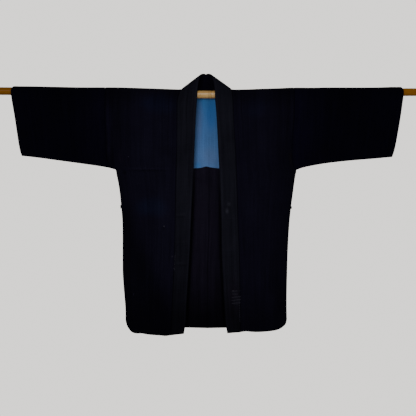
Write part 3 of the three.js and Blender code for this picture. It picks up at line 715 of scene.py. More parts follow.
def smoothed(mesh):
    """Shades every face of a mesh smoothly."""
    mesh.polygons.foreach_set("use_smooth", np.ones(len(mesh.polygons), dtype=bool))


def paint(mesh, tints):
    """Keeps a tint for each point, which the materials multiply their colours by."""
    colours = np.concatenate([tints, np.ones((len(tints), 1))], axis=1)
    values = mesh.color_attributes.new("tint", "FLOAT_COLOR", "POINT")
    values.data.foreach_set("color", colours.astype(np.float32).reshape(-1))


def added(name, mesh, material):
    """A new object of one material, placed in the scene."""
    piece = bpy.data.objects.new(name, mesh)
    bpy.context.scene.collection.objects.link(piece)
    mesh.materials.append(material)
    return piece


# ---- Materials ----
class Nodes:
    """A few short words for building a node tree."""

    def __init__(self, tree):
        self.tree = tree

    def add(self, kind, inputs=(), **settings):
        node = self.tree.nodes.new(kind)
        for key, value in settings.items():
            setattr(node, key, value)
        for key, value in dict(inputs).items():
            self.give(node.inputs[key], value)
        return node

    def out(self, kind, inputs=(), **settings):
        return self.add(kind, inputs, **settings).outputs[0]

    def give(self, socket, value):
        if isinstance(value, bpy.types.NodeSocket):
            self.tree.links.new(value, socket)
        else:
            socket.default_value = value

    def math(self, operation, *values):
        return self.out("ShaderNodeMath", dict(enumerate(values)), operation=operation)

    def times(self, a, b):
        return self.math("MULTIPLY", a, b)

    def total(self, first, *others):
        for other in others:
            first = self.math("ADD", first, other)
        return first

    def object_place(self):
        return self.add("ShaderNodeTexCoord").outputs["Object"]

    def scaled(self, vector, amounts):
        return self.out("ShaderNodeVectorMath", {0: vector, 1: amounts}, operation="MULTIPLY")

    def noise(self, vector, scale, detail=2.0, roughness=0.5):
        return self.out(
            "ShaderNodeTexNoise",
            {"Vector": vector, "Scale": scale, "Detail": detail, "Roughness": roughness},
        )

    def span(self, value, from_low, from_high, to_low, to_high):
        values = (value, from_low, from_high, to_low, to_high)
        return self.out("ShaderNodeMapRange", dict(enumerate(values)))

    def spread(self, noise, low, high):
        """Stretches noise, which lies mostly between 0.3 and 0.7, over a span of its own."""
        return self.span(noise, 0.3, 0.7, low, high)

    def mixed(self, blend, factor, a, b):
        inputs = {0: factor, 6: a, 7: b}
        node = self.add("ShaderNodeMix", inputs, data_type="RGBA", blend_type=blend)
        return node.outputs[2]

    def grey(self, value):
        return self.out("ShaderNodeCombineColor", {0: value, 1: value, 2: value})

    def shaded(self, colour, share):
        """A colour times a share of its brightness."""
        return self.mixed("MULTIPLY", 1.0, colour, self.grey(share))

    def tinted(self, colour):
        """A colour times the tint that its mesh holds for each point."""
        tint = self.out("ShaderNodeVertexColor", layer_name="tint")
        return self.mixed("MULTIPLY", 1.0, colour, tint)

    def bumped(self, height, strength, distance):
        values = {"Strength": strength, "Distance": distance, "Height": height}
        return self.out("ShaderNodeBump", values)


def new_material(name, roughness, specular, sheen=0.0, sheen_tint=(1, 1, 1)):
    material = bpy.data.materials.new(name)
    material.use_nodes = True
    shader = material.node_tree.nodes["Principled BSDF"]
    shader.inputs["Roughness"].default_value = roughness
    shader.inputs["Specular IOR Level"].default_value = specular
    shader.inputs["Sheen Weight"].default_value = sheen
    shader.inputs["Sheen Roughness"].default_value = 0.55
    shader.inputs["Sheen Tint"].default_value = (*sheen_tint, 1)
    return material, Nodes(material.node_tree), shader.inputs


def cotton(name, colour, *, pitch, depth, streak, mottle, specular=0.02):
    """Plain-woven cotton: threads both ways, uneven yarn down the length, faded patches."""
    material, nodes, surface = new_material(name, 0.9, specular, sheen_tint=colour)
    uv = nodes.out("ShaderNodeUVMap", uv_map="cloth")
    parts = nodes.add("ShaderNodeSeparateXYZ", {0: uv}).outputs
    wobble = nodes.times(nodes.math("SUBTRACT", nodes.noise(uv, 90), 0.5), 0.9 * pitch)
    turn = 2 * math.pi / pitch
    across, down = (nodes.times(nodes.total(parts[k], wobble), turn) for k in (0, 1))
    warp, weft = nodes.math("SINE", across), nodes.math("SINE", down)
    over = nodes.times(*(nodes.math("SINE", nodes.times(way, 0.5)) for way in (across, down)))
    weave = nodes.total(nodes.times(warp, 0.5), nodes.times(weft, 0.35), nodes.times(over, 0.6))
    slubs = nodes.noise(nodes.scaled(uv, (520, 9, 1)), 1.0, 3, 0.6)
    bands = nodes.noise(nodes.scaled(uv, (95, 2.2, 1)), 1.0)
    lines = nodes.noise(nodes.scaled(uv, (14, 420, 1)), 1.0)
    patches = nodes.noise(uv, 7.5, 4, 0.6)
    fine = nodes.noise(uv, 260)
    brightness = nodes.total(
        nodes.spread(slubs, 1 - streak, 1 + streak),
        nodes.spread(bands, -streak * 0.7, streak * 0.7),
        nodes.spread(lines, -streak * 0.3, streak * 0.3),
        nodes.spread(patches, -mottle, mottle),
        nodes.span(weave, -1.2, 1.2, -0.22, 0.16),
        nodes.spread(fine, -0.08, 0.08),
    )
    nodes.give(surface["Base Color"], nodes.tinted(nodes.shaded((*colour, 1), brightness)))
    nodes.give(surface["Roughness"], nodes.spread(patches, 0.84, 0.95))
    height = nodes.total(nodes.times(weave, 0.5), nodes.times(slubs, 0.8))
    nodes.give(surface["Normal"], nodes.bumped(height, 0.6, depth))
    return material


def wood(name, pale, deep, specular):
    """Oiled wood with its grain along the rod."""
    material, nodes, surface = new_material(name, 0.32, specular)
    place = nodes.object_place()
    waver = nodes.grey(nodes.times(nodes.noise(place, 9), 1.6))
    stretched = nodes.scaled(place, (2.4, 60, 60))
    bent = nodes.out("ShaderNodeVectorMath", {0: stretched, 1: waver}, operation="ADD")
    grain = nodes.noise(bent, 1.6, 5, 0.62)
    pores = nodes.noise(nodes.scaled(place, (22, 900, 900)), 1.0)
    stain = nodes.noise(nodes.scaled(place, (5, 30, 30)), 1.0, 3)
    fibre = nodes.total(nodes.times(grain, 0.75), nodes.times(pores, 0.25))
    base = nodes.mixed("MIX", nodes.span(fibre, 0.38, 0.62, 0, 1), (*deep, 1), (*pale, 1))
    worn = nodes.shaded(base, nodes.spread(stain, 0.82, 1.12))
    nodes.give(surface["Base Color"], nodes.tinted(worn))
    nodes.give(surface["Roughness"], nodes.spread(grain, 0.26, 0.42))
    nodes.give(surface["Normal"], nodes.bumped(fibre, 0.35, 0.3 * MM))
    return material


def thread(name, colour):
    """Twisted sewing thread."""
    material, nodes, surface = new_material(name, 0.75, 0.1)
    twist = nodes.noise(nodes.scaled(nodes.object_place(), (1800, 1800, 1800)), 1.0)
    nodes.give(surface["Base Color"], nodes.shaded((*colour, 1), nodes.spread(twist, 0.7, 1.25)))
    nodes.give(surface["Normal"], nodes.bumped(twist, 0.4, 0.1 * MM))
    return material


def studio_paper(name, colour):
    """Matt studio paper, very slightly uneven."""
    material, nodes, surface = new_material(name, 0.8, 0.2)
    shade = nodes.spread(nodes.noise(nodes.object_place(), 3), 0.98, 1.02)
    nodes.give(surface["Base Color"], nodes.shaded((*colour, 1), shade))
    return material


# ---- Stitches ----
STITCH_SIZES = {
    "Pitch": 8 * MM, "Length": 4 * MM, "Thickness": 0.5 * MM, "Rise": 0.4 * MM, "Slant": 0.0,
    "Unevenness": 0.25,
}
STITCH_FACETS = 6  # round the thread, and along the arc of a stitch


def stitch_tree():
    """A row of stitches along a line whose points hold the direction away from the cloth."""
    tree = bpy.data.node_groups.new("Stitch row", "GeometryNodeTree")

    def socket(name, kind, way="INPUT"):
        return tree.interface.new_socket(name, in_out=way, socket_type=f"NodeSocket{kind}")

    socket("Line", "Geometry")
    for name, value in STITCH_SIZES.items():
        socket(name, "Float").default_value = value
    socket("Seed", "Int").default_value = 1
    socket("Thread", "Material")
    socket("Stitches", "Geometry", "OUTPUT")
    nodes = Nodes(tree)
    out, times = nodes.out, nodes.times
    given = nodes.add("NodeGroupInput").outputs
    thickness, uneven = given["Thickness"], given["Unevenness"]
    curve = out("GeometryNodeMeshToCurve", {0: given["Line"]})
    spaced = {"Curve": curve, "Length": given["Pitch"]}
    even = out("GeometryNodeResampleCurve", spaced, mode="LENGTH")
    # Each stitch lies along the line, with its arc away from the cloth, and sways a little.
    away = out("GeometryNodeInputNamedAttribute", {"Name": "away"}, data_type="FLOAT_VECTOR")
    tangent = out("GeometryNodeInputTangent")
    aimed = out("FunctionNodeAlignRotationToVector", {"Vector": tangent}, axis="X")
    aimed = {"Rotation": aimed, "Vector": away}
    stood = out("FunctionNodeAlignRotationToVector", aimed, axis="Z", pivot_axis="X")
    either_way = {2: -1.0, 3: 1.0, "Seed": given["Seed"]}
    jitter = nodes.add("FunctionNodeRandomValue", either_way, data_type="FLOAT").outputs[1]
    sway = nodes.math("MULTIPLY_ADD", jitter, times(uneven, 0.5), given["Slant"])
    spin = out("FunctionNodeAxisAngleToRotation", {"Axis": (0, 0, 1), "Angle": sway})
    turned_way = out("FunctionNodeRotateRotation", {0: stood, 1: spin}, rotation_space="LOCAL")
    # One stitch: a bent length of thread whose ends are sunk in the cloth.
    half, sunk = times(given["Length"], 0.5), times(thickness, -0.9)
    start = out("ShaderNodeCombineXYZ", {0: times(half, -1.0), 2: sunk})
    crown = out("ShaderNodeCombineXYZ", {2: times(given["Rise"], 2.0)})
    end = out("ShaderNodeCombineXYZ", {0: half, 2: sunk})
    bend = {"Resolution": STITCH_FACETS, "Start": start, "Middle": crown, "End": end}
    arc = out("GeometryNodeCurveQuadraticBezier", bend)
    round_thread = {"Resolution": STITCH_FACETS, "Radius": times(thickness, 0.5)}
    ring = out("GeometryNodeCurvePrimitiveCircle", round_thread)
    swept = {"Curve": arc, "Profile Curve": ring, "Fill Caps": True}
    loop = out("GeometryNodeCurveToMesh", swept)
    stretch = nodes.math("MULTIPLY_ADD", jitter, uneven, 1.0)
    scale = out("ShaderNodeCombineXYZ", {0: stretch, 1: 1.0, 2: 1.0})
    placed = {"Points": even, "Instance": loop, "Rotation": turned_way, "Scale": scale}
    row = out("GeometryNodeInstanceOnPoints", placed)
    solid = out("GeometryNodeRealizeInstances", {0: row})
    done = out("GeometryNodeSetMaterial", {"Geometry": solid, "Material": given["Thread"]})
    nodes.add("NodeGroupOutput", {"Stitches": done})
    return tree


def stitched(name, lines, material, **sizes):
    """Stitches along lines on a face of the cloth, as one plain mesh.

    Each line is its points and, for each point, the direction away from the cloth.
    """
    mesh = bpy.data.meshes.new(name)
    points, edges, ups = [], [], []
    for line, directions in lines:
        start = len(points)
        points += [tuple(point) for point in line]
        ups += [tuple(direction) for direction in directions]
        edges += [(start + k, start + k + 1) for k in range(len(line) - 1)]
    mesh.from_pydata(points, edges, [])
    layer = mesh.attributes.new("away", "FLOAT_VECTOR", "POINT")
    layer.data.foreach_set("vector", np.array(ups, dtype=np.float32).reshape(-1))
    guide = bpy.data.objects.new(name + "_line", mesh)
    bpy.context.scene.collection.objects.link(guide)
    tree = bpy.data.node_groups.get("Stitch row") or stitch_tree()
    modifier = guide.modifiers.new("Stitches", "NODES")
    modifier.node_group = tree
    sockets = {
        item.name: item.identifier for item in tree.interface.items_tree if item.in_out == "INPUT"
    }
    modifier[sockets["Thread"]] = material
    for key, value in sizes.items():
        modifier[sockets[key.capitalize()]] = value
    bpy.context.view_layer.update()
    evaluated = guide.evaluated_get(bpy.context.evaluated_depsgraph_get())
    baked = bpy.data.meshes.new_from_object(evaluated)
    guide.modifiers.clear()
    bpy.data.objects.remove(guide)
    if not baked.polygons:
        raise RuntimeError(f"{name}: no stitches were made")
    smoothed(baked)
    baked.name = name
    piece = bpy.data.objects.new(name, baked)
    bpy.context.scene.collection.objects.link(piece)
    return piece


# ---- Sizes and colours that a user would change ----
def colour_property(name, description, default):
    return FloatVectorProperty(
        name=name, description=description, default=default, size=3, min=0, max=1, subtype="COLOR"
    )


def length_property(name, description, default, low=0.0, high=10.0):
    return FloatProperty(
        name=name, description=description, default=default, min=low, max=high,
        unit="LENGTH", subtype="DISTANCE",
    )


class HantenClothSettings(bpy.types.PropertyGroup):
    body_colour: colour_property("Body", "Dye of the body panels", (0.0042, 0.0035, 0.0089))
    sleeve_colour: colour_property("Sleeves", "Dye of the sleeves", (0.0013, 0.0010, 0.0038))
    collar_colour: colour_property("Collar", "Dye of the collar band", (0.0068, 0.0068, 0.0112))
    lining_colour: colour_property("Lining", "Dye of the shoulder lining", (0.058, 0.139, 0.335))
    spacing: length_property(
        "Spacing", "Distance between points of the cloth", 0.0036, 0.002, 0.02
    )
    thread_pitch: length_property(
        "Thread pitch", "Distance between threads of the weave", 0.00062, 0.0003, 0.003
    )
    body_wall: length_property(
        "Body wall", "Thickness of the lined body cloth", CLOTH_WALL, 0.0005, 0.01
    )
    collar_wall: length_property(
        "Collar wall", "Thickness of the folded collar band", 0.004, 0.001, 0.01
    )
    lining_wall: length_property(
        "Lining wall", "Thickness of the shoulder lining", LINING_WALL, 0.0003, 0.005
    )
    seam_tuck: length_property("Seam tuck", "How far cloth turns in at a seam", 0.0009, 0, 0.003)


class HantenStitchSettings(bpy.types.PropertyGroup):
    pitch: length_property("Pitch", "Distance between running stitches", 0.009, 0.003, 0.03)
    hem_length: length_property("Hem stitch", "Length of a stitch at the hem", 0.0022, 0.001, 0.02)
    cuff_length: length_property(
        "Cuff stitch", "Length of a stitch at the cuffs", 0.0024, 0.001, 0.02
    )
    thickness: length_property("Thread", "Thickness of the sewing thread", 0.0006, 0.0002, 0.002)
    dark_thread: colour_property("Dark thread", "Sewing thread", (0.006, 0.006, 0.012))
    mend_thread: colour_property("Mending thread", "Thread of the mends", (0.024, 0.022, 0.034))
    blue_thread: colour_property(
        "Blue thread", "Thread of the lining's seams", (0.05, 0.15, 0.30)
    )
    lint: colour_property("Lint", "Pale specks caught in the cloth", (0.20, 0.20, 0.24))
    faint_lint: colour_property("Faint lint", "Specks that hardly show", (0.075, 0.065, 0.11))


class HantenRodSettings(bpy.types.PropertyGroup):
    pale_colour: colour_property("Pale wood", "Pale bands of the grain", (0.56, 0.37, 0.115))
    deep_colour: colour_property("Deep wood", "Dark bands of the grain", (0.38, 0.21, 0.05))
    pale_end_colour: colour_property(
        "Pale ends", "Pale grain of the ends, in painted shade", (0.20, 0.078, 0.0025)
    )
    deep_end_colour: colour_property(
        "Deep ends", "Dark grain of the ends, in painted shade", (0.13, 0.046, 0.0012)
    )
    facets: IntProperty(
        name="Facets", description="Sides of the round rod", default=48, min=12, max=96
    )


class HantenStageSettings(bpy.types.PropertyGroup):
    view_width: length_property(
        "View width", "Width that the camera sees at the jacket", 1.3055, 0.5, 3
    )
    distance: length_property("Distance", "From the camera to the jacket's front", 3.4, 1, 20)
    roll: FloatProperty(
        name="Roll", description="Turn of the camera about its view", default=-0.0025,
        subtype="ANGLE",
    )
    floor_level: length_property("Floor", "Height of the floor", -1.75, -5, 0)
    key_power: FloatProperty(
        name="Key", description="Power of the large soft light", default=52, min=0, unit="POWER"
    )


# ---- The sheet of each cut piece ----
def sheet_of(node, shape, wall, spacing, row):
    """A node's sheet: rows from the front to the back, columns from the seam nearer x = 0.

    row is one on the front, well away from the hem, that tells one seam from the other.
    """
    grids = []
    for grid in face_grids(node, shape, wall):
        flip_rows = grid[0, :, 1].mean() > grid[-1, :, 1].mean()
        flip_columns = abs(grid[row, 0, 0]) > abs(grid[row, -1, 0])
        grids.append(turned(grid, flip_rows, flip_columns))
    grids.sort(key=lambda g: -g[:, :, 2].max())
    return Sheet(*grids, spacing)


def collar_sheet(spacing):
    """The band's sheet: rows from the wearer's right end to the left, columns from the seam."""
    row, front_rows = 8, 20
    grids = []
    for grid in face_grids("collar_band", COLLAR_GRID, 0.0, COLLAR_SHARP):
        flip_rows = grid[0, :, 0].mean() > 0
        flip_columns = abs(grid[row, 0, 0]) < abs(grid[row, -1, 0])
        grids.append(turned(grid, flip_rows, flip_columns))
    grids.sort(key=lambda g: g[:front_rows, :, 1].mean())
    return Sheet(*grids, spacing)


def lining_sheet(side, spacing):
    """A lining's sheet: rows from the top down, columns from the centre seam."""
    row = 3
    grids = []
    for grid in face_grids(f"shoulder_lining_{side}", LINING_GRID, LINING_WALL):
        if np.ptp(grid[:, 0, 2]) < np.ptp(grid[0, :, 2]):
            grid = grid.transpose(1, 0, 2)
        flip_rows = grid[0, :, 2].mean() < grid[-1, :, 2].mean()
        flip_columns = abs(grid[row, 0, 0]) > abs(grid[row, -1, 0])
        grids.append(turned(grid, flip_rows, flip_columns))
    grids.sort(key=lambda g: g[:, :, 1].mean())
    return Sheet(*grids, spacing)


def all_sheets():
    """Every cut piece's sheet, with its edges drawn to the edges that they're sewn to."""
    along = bpy.context.scene.hanten_cloth.spacing
    wide, wider = (along, along * 1.1), (along, along * 1.15)
    collar = collar_sheet((along, along * 0.85))
    sheets = {"collar": collar}
    for side in SIDES:
        sheets["body", side] = sheet_of(f"body_{side}", BODY_GRID, CLOTH_WALL, wider, 10)
        sheets["sleeve", side] = sheet_of(f"sleeve_{side}", SLEEVE_GRID, CLOTH_WALL, wide, 14)
        sheets["lining", side] = lining_sheet(side, wide)
    middle = {
        kind: [sheets[kind, side].points[:, 0].copy() for side in SIDES]
        for kind in ("body", "lining")
    }
    for number, side in enumerate(SIDES):
        body, sleeve, lining = (sheets[kind, side] for kind in ("body", "sleeve", "lining"))
        other = 1 - number
        sew(body, collar.points[:, 0], COLLAR_REACH)
        sew(body, middle["body"][other], CENTRE_REACH)
        sew(sleeve, body.points[:, -1], ARMHOLE_REACH)
        sew(lining, middle["lining"][other], CENTRE_REACH)
    return sheets


# ---- Seams, hems and lines of stitches ----
def painted_collar_shadow(sheet, side):
    """Painted shadow on the back just inside the collar's free edge: the share of brightness kept.
    """
    edge = SHEETS["collar"].points[:, -1]
    own = edge[(edge[:, 1] < 0) & (edge[:, 0] * SIDES[side] > 0) & (edge[:, 2] < -60 * MM)]
    own = own[np.argsort(own[:, 2])]
    place = np.interp(sheet.z, own[:, 2], own[:, 0]) - SIDES[side] * 2 * MM
    return (1 - 0.8 * below_lining(sheet) * bump(np.abs(sheet.x - place), 7 * MM))[..., None]


def seam_tuck(away, depth):
    """How far cloth turns in beside a seam."""
    return depth * np.exp(-((away / (2.1 * MM)) ** 2))


def hem_lift(away):
    """The doubled cloth of a turned hem, with the dent of its stitches."""
    doubled = 1 - smoothstep(HEM_WIDTH - 1.6 * MM, HEM_WIDTH + 1.6 * MM, away)
    return HEM_HEIGHT * doubled - 0.25 * MM * bump(np.abs(away - HEM_WIDTH), 2.4 * MM)


def seam_allowance(away):
    """The cloth that a seam folds back inside, felt through the outer layer."""
    return ALLOWANCE_HEIGHT * (1 - smoothstep(7 * MM, 10 * MM, away))


def across_at(sheet, distance, face="outer"):
    """A line down a sheet's face, at a distance from its near or, under 0, far edge."""
    column = np.abs(sheet.across - (distance % sheet.across[-1])).argmin()
    way = 1 if face == "outer" else -1
    return sheet.faces[face][2:-2, column], way * sheet.outward[2:-2, column]


def down_at(sheet, distance):
    """A line across a sheet's outer face, at a distance from its first or, under 0, last row."""
    row = np.abs(sheet.down - (distance % sheet.down[-1])).argmin()
    return sheet.faces["outer"][row, 2:-2], sheet.outward[row, 2:-2]


def marked(sheet, places):
    """A line through places (x, z), in mm, on the front part of a sheet's outer face."""
    points = sheet.faces["outer"]
    line, away = [], []
    for x, z in places:
        gap = np.hypot(points[..., 0] - x * MM, points[..., 2] - z * MM) + (sheet.y > 0)
        nearest = np.unravel_index(gap.argmin(), gap.shape)
        point, normal = points[nearest], sheet.outward[nearest]
        off = (x * MM - point[0]) * normal[0] + (z * MM - point[2]) * normal[2]
        line.append((x * MM, point[1] - off / normal[1], z * MM))
        away.append(normal)
    return line, away


def speck_at(sheet, x, z):
    """A short line that holds one speck."""
    return marked(sheet, ((x, z), (x + 0.4, z - 1.4)))


def side_tack(side):
    """A short line down a side seam, with its directions out of the side."""
    edge = SHEETS["body", side].points[:, -1]
    low, high = SIDE_TACKS
    rows = (edge[:, 2] > low * MM) & (edge[:, 2] < high * MM) & (edge[:, 1] < 0)
    sign = SIDES[side]
    line = [(x + 0.6 * MM * sign, 0.0, z) for x, _, z in edge[rows]]
    return line, [(sign, 0, 0)] * len(line)


# ---- What each piece is to the frame ----
def dressed(piece, node):
    """Hangs a piece of cloth on the root and hides the solid that it was cut to."""
    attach(piece, "root")
    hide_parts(node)


def sewn(name, lines, material, slot, **sizes):
    """Rows of stitches, attached to the root."""
    piece = stitched(name, lines, material, **sizes)
    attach(piece, "root")


# ---- The jacket, part by part ----
class HANTEN_OT_body(bpy.types.Operator):
    """Make the two halves of the body, from the front hem over the rod to the back hem"""

    bl_idname = "hanten.body"
    bl_label = "Body"

    def execute(self, context):
        settings = context.scene.hanten_cloth
        material = cotton(
            "indigo body cotton", settings.body_colour, pitch=settings.thread_pitch,
            depth=0.35 * MM, streak=0.2, mottle=0.14,
        )
        hems = []
        for number, side in enumerate(SIDES):
            sheet = SHEETS["body", side]
            lay_relief(sheet)
            hem = np.minimum(sheet.from_start, sheet.from_end)
            seams = np.minimum(sheet.from_near, sheet.from_far)
            free = free_of_rod(sheet)
            ripple = puckers(sheet.from_start, sheet.from_far, SIDE_SEAM_PUCKERS, number)
            ripple += puckers(sheet.from_start, sheet.from_near, CENTRE_SEAM_PUCKERS, number)
            ripple += puckers(sheet.from_near, hem, HEM_PUCKERS, number)
            ripple *= free * apart(sheet) * smoothstep(1 * MM, 12 * MM, sheet.from_far)
            tuck = seam_tuck(seams, settings.seam_tuck) - ripple
            allowance = seam_allowance(sheet.from_far) * free
            # Painted shade of BODY_SHADES and along the seams, and a worn hem.
            tint = tint_of(sheet, BODY_SHADES) * edged(hem, EDGE_WEAR_AND_PAINTED_SHADE, 0.35)
            tint *= edged(sheet.from_near, EDGE_WEAR_AND_PAINTED_SHADE, -0.35)
            tint *= edged(sheet.from_far, EDGE_WEAR_AND_PAINTED_SHADE, -0.2)
            # Painted shade inside the back, deeper down and beside the collar's free edge.
            inside = shade_of(sheet, INSIDE_SHADES) * painted_collar_shadow(sheet, side)
            piece = closed_shell(
                f"body_{side}_cloth", sheet, settings.body_wall, material,
                lift=hem_lift(hem) + allowance, drop=0.3 * hem_lift(hem), tuck=tuck, tint=tint,
                inside=inside * np.array(INSIDE_TINT),
            )
            dressed(piece, f"body_{side}")
            hems += [down_at(sheet, HEM_STITCHES), down_at(sheet, -HEM_STITCHES)]
        stitches = context.scene.hanten_stitches
        dark = thread("indigo sewing thread", stitches.dark_thread)
        sewn("body_hem_stitches", hems, dark, "body_cotton", pitch=stitches.pitch,
             length=stitches.hem_length, thickness=stitches.thickness, rise=0.2 * MM, slant=0.2,
             seed=3)
        sewn("side_tacks", [side_tack(side) for side in SIDES], dark, "body_cotton",
             pitch=1.1 * MM, length=9 * MM, thickness=0.9 * MM, rise=2.6 * MM, slant=math.pi / 2,
             unevenness=0.3, seed=5)
        return {"FINISHED"}


class HANTEN_OT_sleeves(bpy.types.Operator):
    """Make the two sleeves, folded over the rod and sewn along the underarm"""

    bl_idname = "hanten.sleeves"
    bl_label = "Sleeves"

    def execute(self, context):
        settings = context.scene.hanten_cloth
        material = cotton(
            "indigo sleeve cotton", settings.sleeve_colour, pitch=settings.thread_pitch,
            depth=0.35 * MM, streak=0.18, mottle=0.18,
        )
        cuffs = []
        for number, side in enumerate(SIDES):
            sheet = SHEETS["sleeve", side]
            lay_relief(sheet)
            under = np.minimum(sheet.from_start, sheet.from_end)
            free = free_of_rod(sheet) * smoothstep(3 * MM, 16 * MM, under)
            ripple = puckers(sheet.from_start, sheet.from_near, ARMHOLE_PUCKERS, number)
            ripple += puckers(sheet.from_start, sheet.from_far, CUFF_PUCKERS, number)
            ripple += puckers(sheet.from_near, under, UNDERARM_PUCKERS, number)
            closed = np.minimum(under, sheet.from_near)
            tuck = seam_tuck(closed, settings.seam_tuck) - ripple * free * apart(sheet)
            # Painted shade of SLEEVE_SHADES and along the armhole seam, and a worn cuff.
            tint = tint_of(sheet, SLEEVE_SHADES, ()) * edged(sheet.from_far, EDGE_WEAR_AND_PAINTED_SHADE, 0.5)
            tint *= edged(sheet.from_near, EDGE_WEAR_AND_PAINTED_SHADE, -0.2)
            hem = hem_lift(sheet.from_far)
            piece = closed_shell(
                f"sleeve_{side}_cloth", sheet, settings.body_wall, material,
                lift=hem, drop=0.3 * hem, tuck=tuck, tint=tint,
            )
            dressed(piece, f"sleeve_{side}")
            cuffs.append(across_at(sheet, -HEM_STITCHES))
        stitches = context.scene.hanten_stitches
        dark = thread("indigo sleeve thread", stitches.dark_thread)
        sewn("cuff_stitches", cuffs, dark, "sleeve_cotton", pitch=stitches.pitch,
             length=stitches.cuff_length, thickness=stitches.thickness, rise=0.2 * MM, slant=0.2,
             seed=7)
        return {"FINISHED"}


class HANTEN_OT_collar(bpy.types.Operator):
    """Make the collar band, up one front, round the neck and down the other"""

    bl_idname = "hanten.collar"
    bl_label = "Collar"

    def execute(self, context):
        settings = context.scene.hanten_cloth
        material = cotton(
            "worn collar cotton", settings.collar_colour, pitch=settings.thread_pitch * 1.1,
            depth=0.4 * MM, streak=0.22, mottle=0.2,
        )
        sheet = SHEETS["collar"]
        lay_relief(sheet, share=0.8)
        ripple = puckers(sheet.from_start, sheet.from_near, COLLAR_PUCKERS)
        for height, along, across, seed in COLLAR_WAVES:
            ripple += height * soft_noise(sheet.from_start / along, sheet.from_near / across, seed)
        ripple += hang_relief(sheet.x, sheet.z, "collar", unevenness=0) * (sheet.y < 0)
        ripple *= smoothstep(0, 6 * MM, sheet.from_far) * free_of_rod(sheet)
        tuck = seam_tuck(sheet.from_near, 0.8 * MM) - ripple
        width = sheet.across[-1]
        padding = 0.5 * MM * np.sin(math.pi * np.clip(sheet.from_near / width, 0, 1))
        tint = tint_of(sheet, COLLAR_SHADES, ("collar",))
        # A painted highlight along the band's folded edge.
        tint *= edged(np.abs(sheet.from_far - 6 * MM), 5 * MM, 0.25)
        # A painted shadow at the free edge, low down, where the band stands off the back.
        tint *= edged(sheet.from_far, 3.5 * MM, -0.6 * below_lining(sheet))
        # Painted shade along the seam.
        tint *= edged(sheet.from_near, 3 * MM, -0.3)
        # Painted shade on the band's inner face behind the neck.
        behind = smoothstep(-6 * MM, 4 * MM, sheet.y)[..., None]
        piece = closed_shell(
            "collar_cloth", sheet, settings.collar_wall, material, lift=padding, tuck=tuck,
            tint=tint, inside=1 + (np.array(NECK_PAINTED_SHADE) - 1) * behind,
        )
        dressed(piece, "collar_band")
        stitches = context.scene.hanten_stitches
        dark = thread("collar sewing thread", stitches.dark_thread)
        felled = across_at(sheet, COLLAR_FELL, "inner")
        sewn("collar_fell_stitches", [felled], dark, "collar_cotton", pitch=6 * MM,
             length=3.2 * MM, thickness=stitches.thickness, rise=0.3 * MM, slant=0.9, seed=9)
        return {"FINISHED"}


class HANTEN_OT_mends(bpy.types.Operator):
    """Make the mends of the collar and the lint that clings to the cloth"""

    bl_idname = "hanten.mends"
    bl_label = "Mends and lint"

    def execute(self, context):
        stitches = context.scene.hanten_stitches
        pale = thread("mending thread", stitches.mend_thread)
        dark = thread("painted mend shadow thread", stitches.dark_thread)
        collar, front = SHEETS["collar"], SHEETS["body", "right"]
        hatch = {"pitch": 8.6 * MM, "slant": math.pi / 2 + 0.03, "unevenness": 0.2}
        sewn("collar_mend_hatching", [marked(collar, MEND_HATCH)], pale, "collar_cotton",
             length=30 * MM, thickness=1.7 * MM, rise=0.9 * MM, seed=11, **hatch)
        # Dark thread between the strokes of the hatching, as their painted shadows.
        shadows = [marked(collar, MEND_HATCH_SHADOWS)]
        sewn("collar_mend_painted_shadows", shadows, dark, "collar_cotton",
             length=26 * MM, thickness=1.5 * MM, rise=0.8 * MM, seed=12, **hatch)
        darns = [marked(collar, places) for places in MEND_LINES]
        sewn("collar_mend_lines", darns, pale, "collar_cotton", pitch=5.2 * MM, length=4.4 * MM,
             thickness=1.4 * MM, rise=0.5 * MM, slant=0.1, seed=13)
        bars = [marked(collar, ((x, z), (x, z - MEND_BAR_DROP))) for x, z in MEND_BARS]
        sewn("collar_mend_bars", bars, pale, "collar_cotton", pitch=2 * MM, length=13 * MM,
             thickness=1.1 * MM, rise=1.0 * MM, slant=math.pi / 2, seed=15)
        speck = {
            "pitch": 1.4 * MM, "length": 1.7 * MM, "thickness": 0.7 * MM, "rise": 0.5 * MM,
            "slant": 0.8, "unevenness": 0.6,
        }
        specks = [marked(collar, COLLAR_SPECK), speck_at(front, *BODY_SPECK)]
        sewn("lint_specks", specks, thread("lint", stitches.lint), "collar_cotton", seed=17,
             **speck)
        specks = [speck_at(front, *place) for place in FAINT_SPECKS]
        sewn("faint_lint_specks", specks, thread("faint lint", stitches.faint_lint),
             "body_cotton", seed=18, **speck)
        return {"FINISHED"}


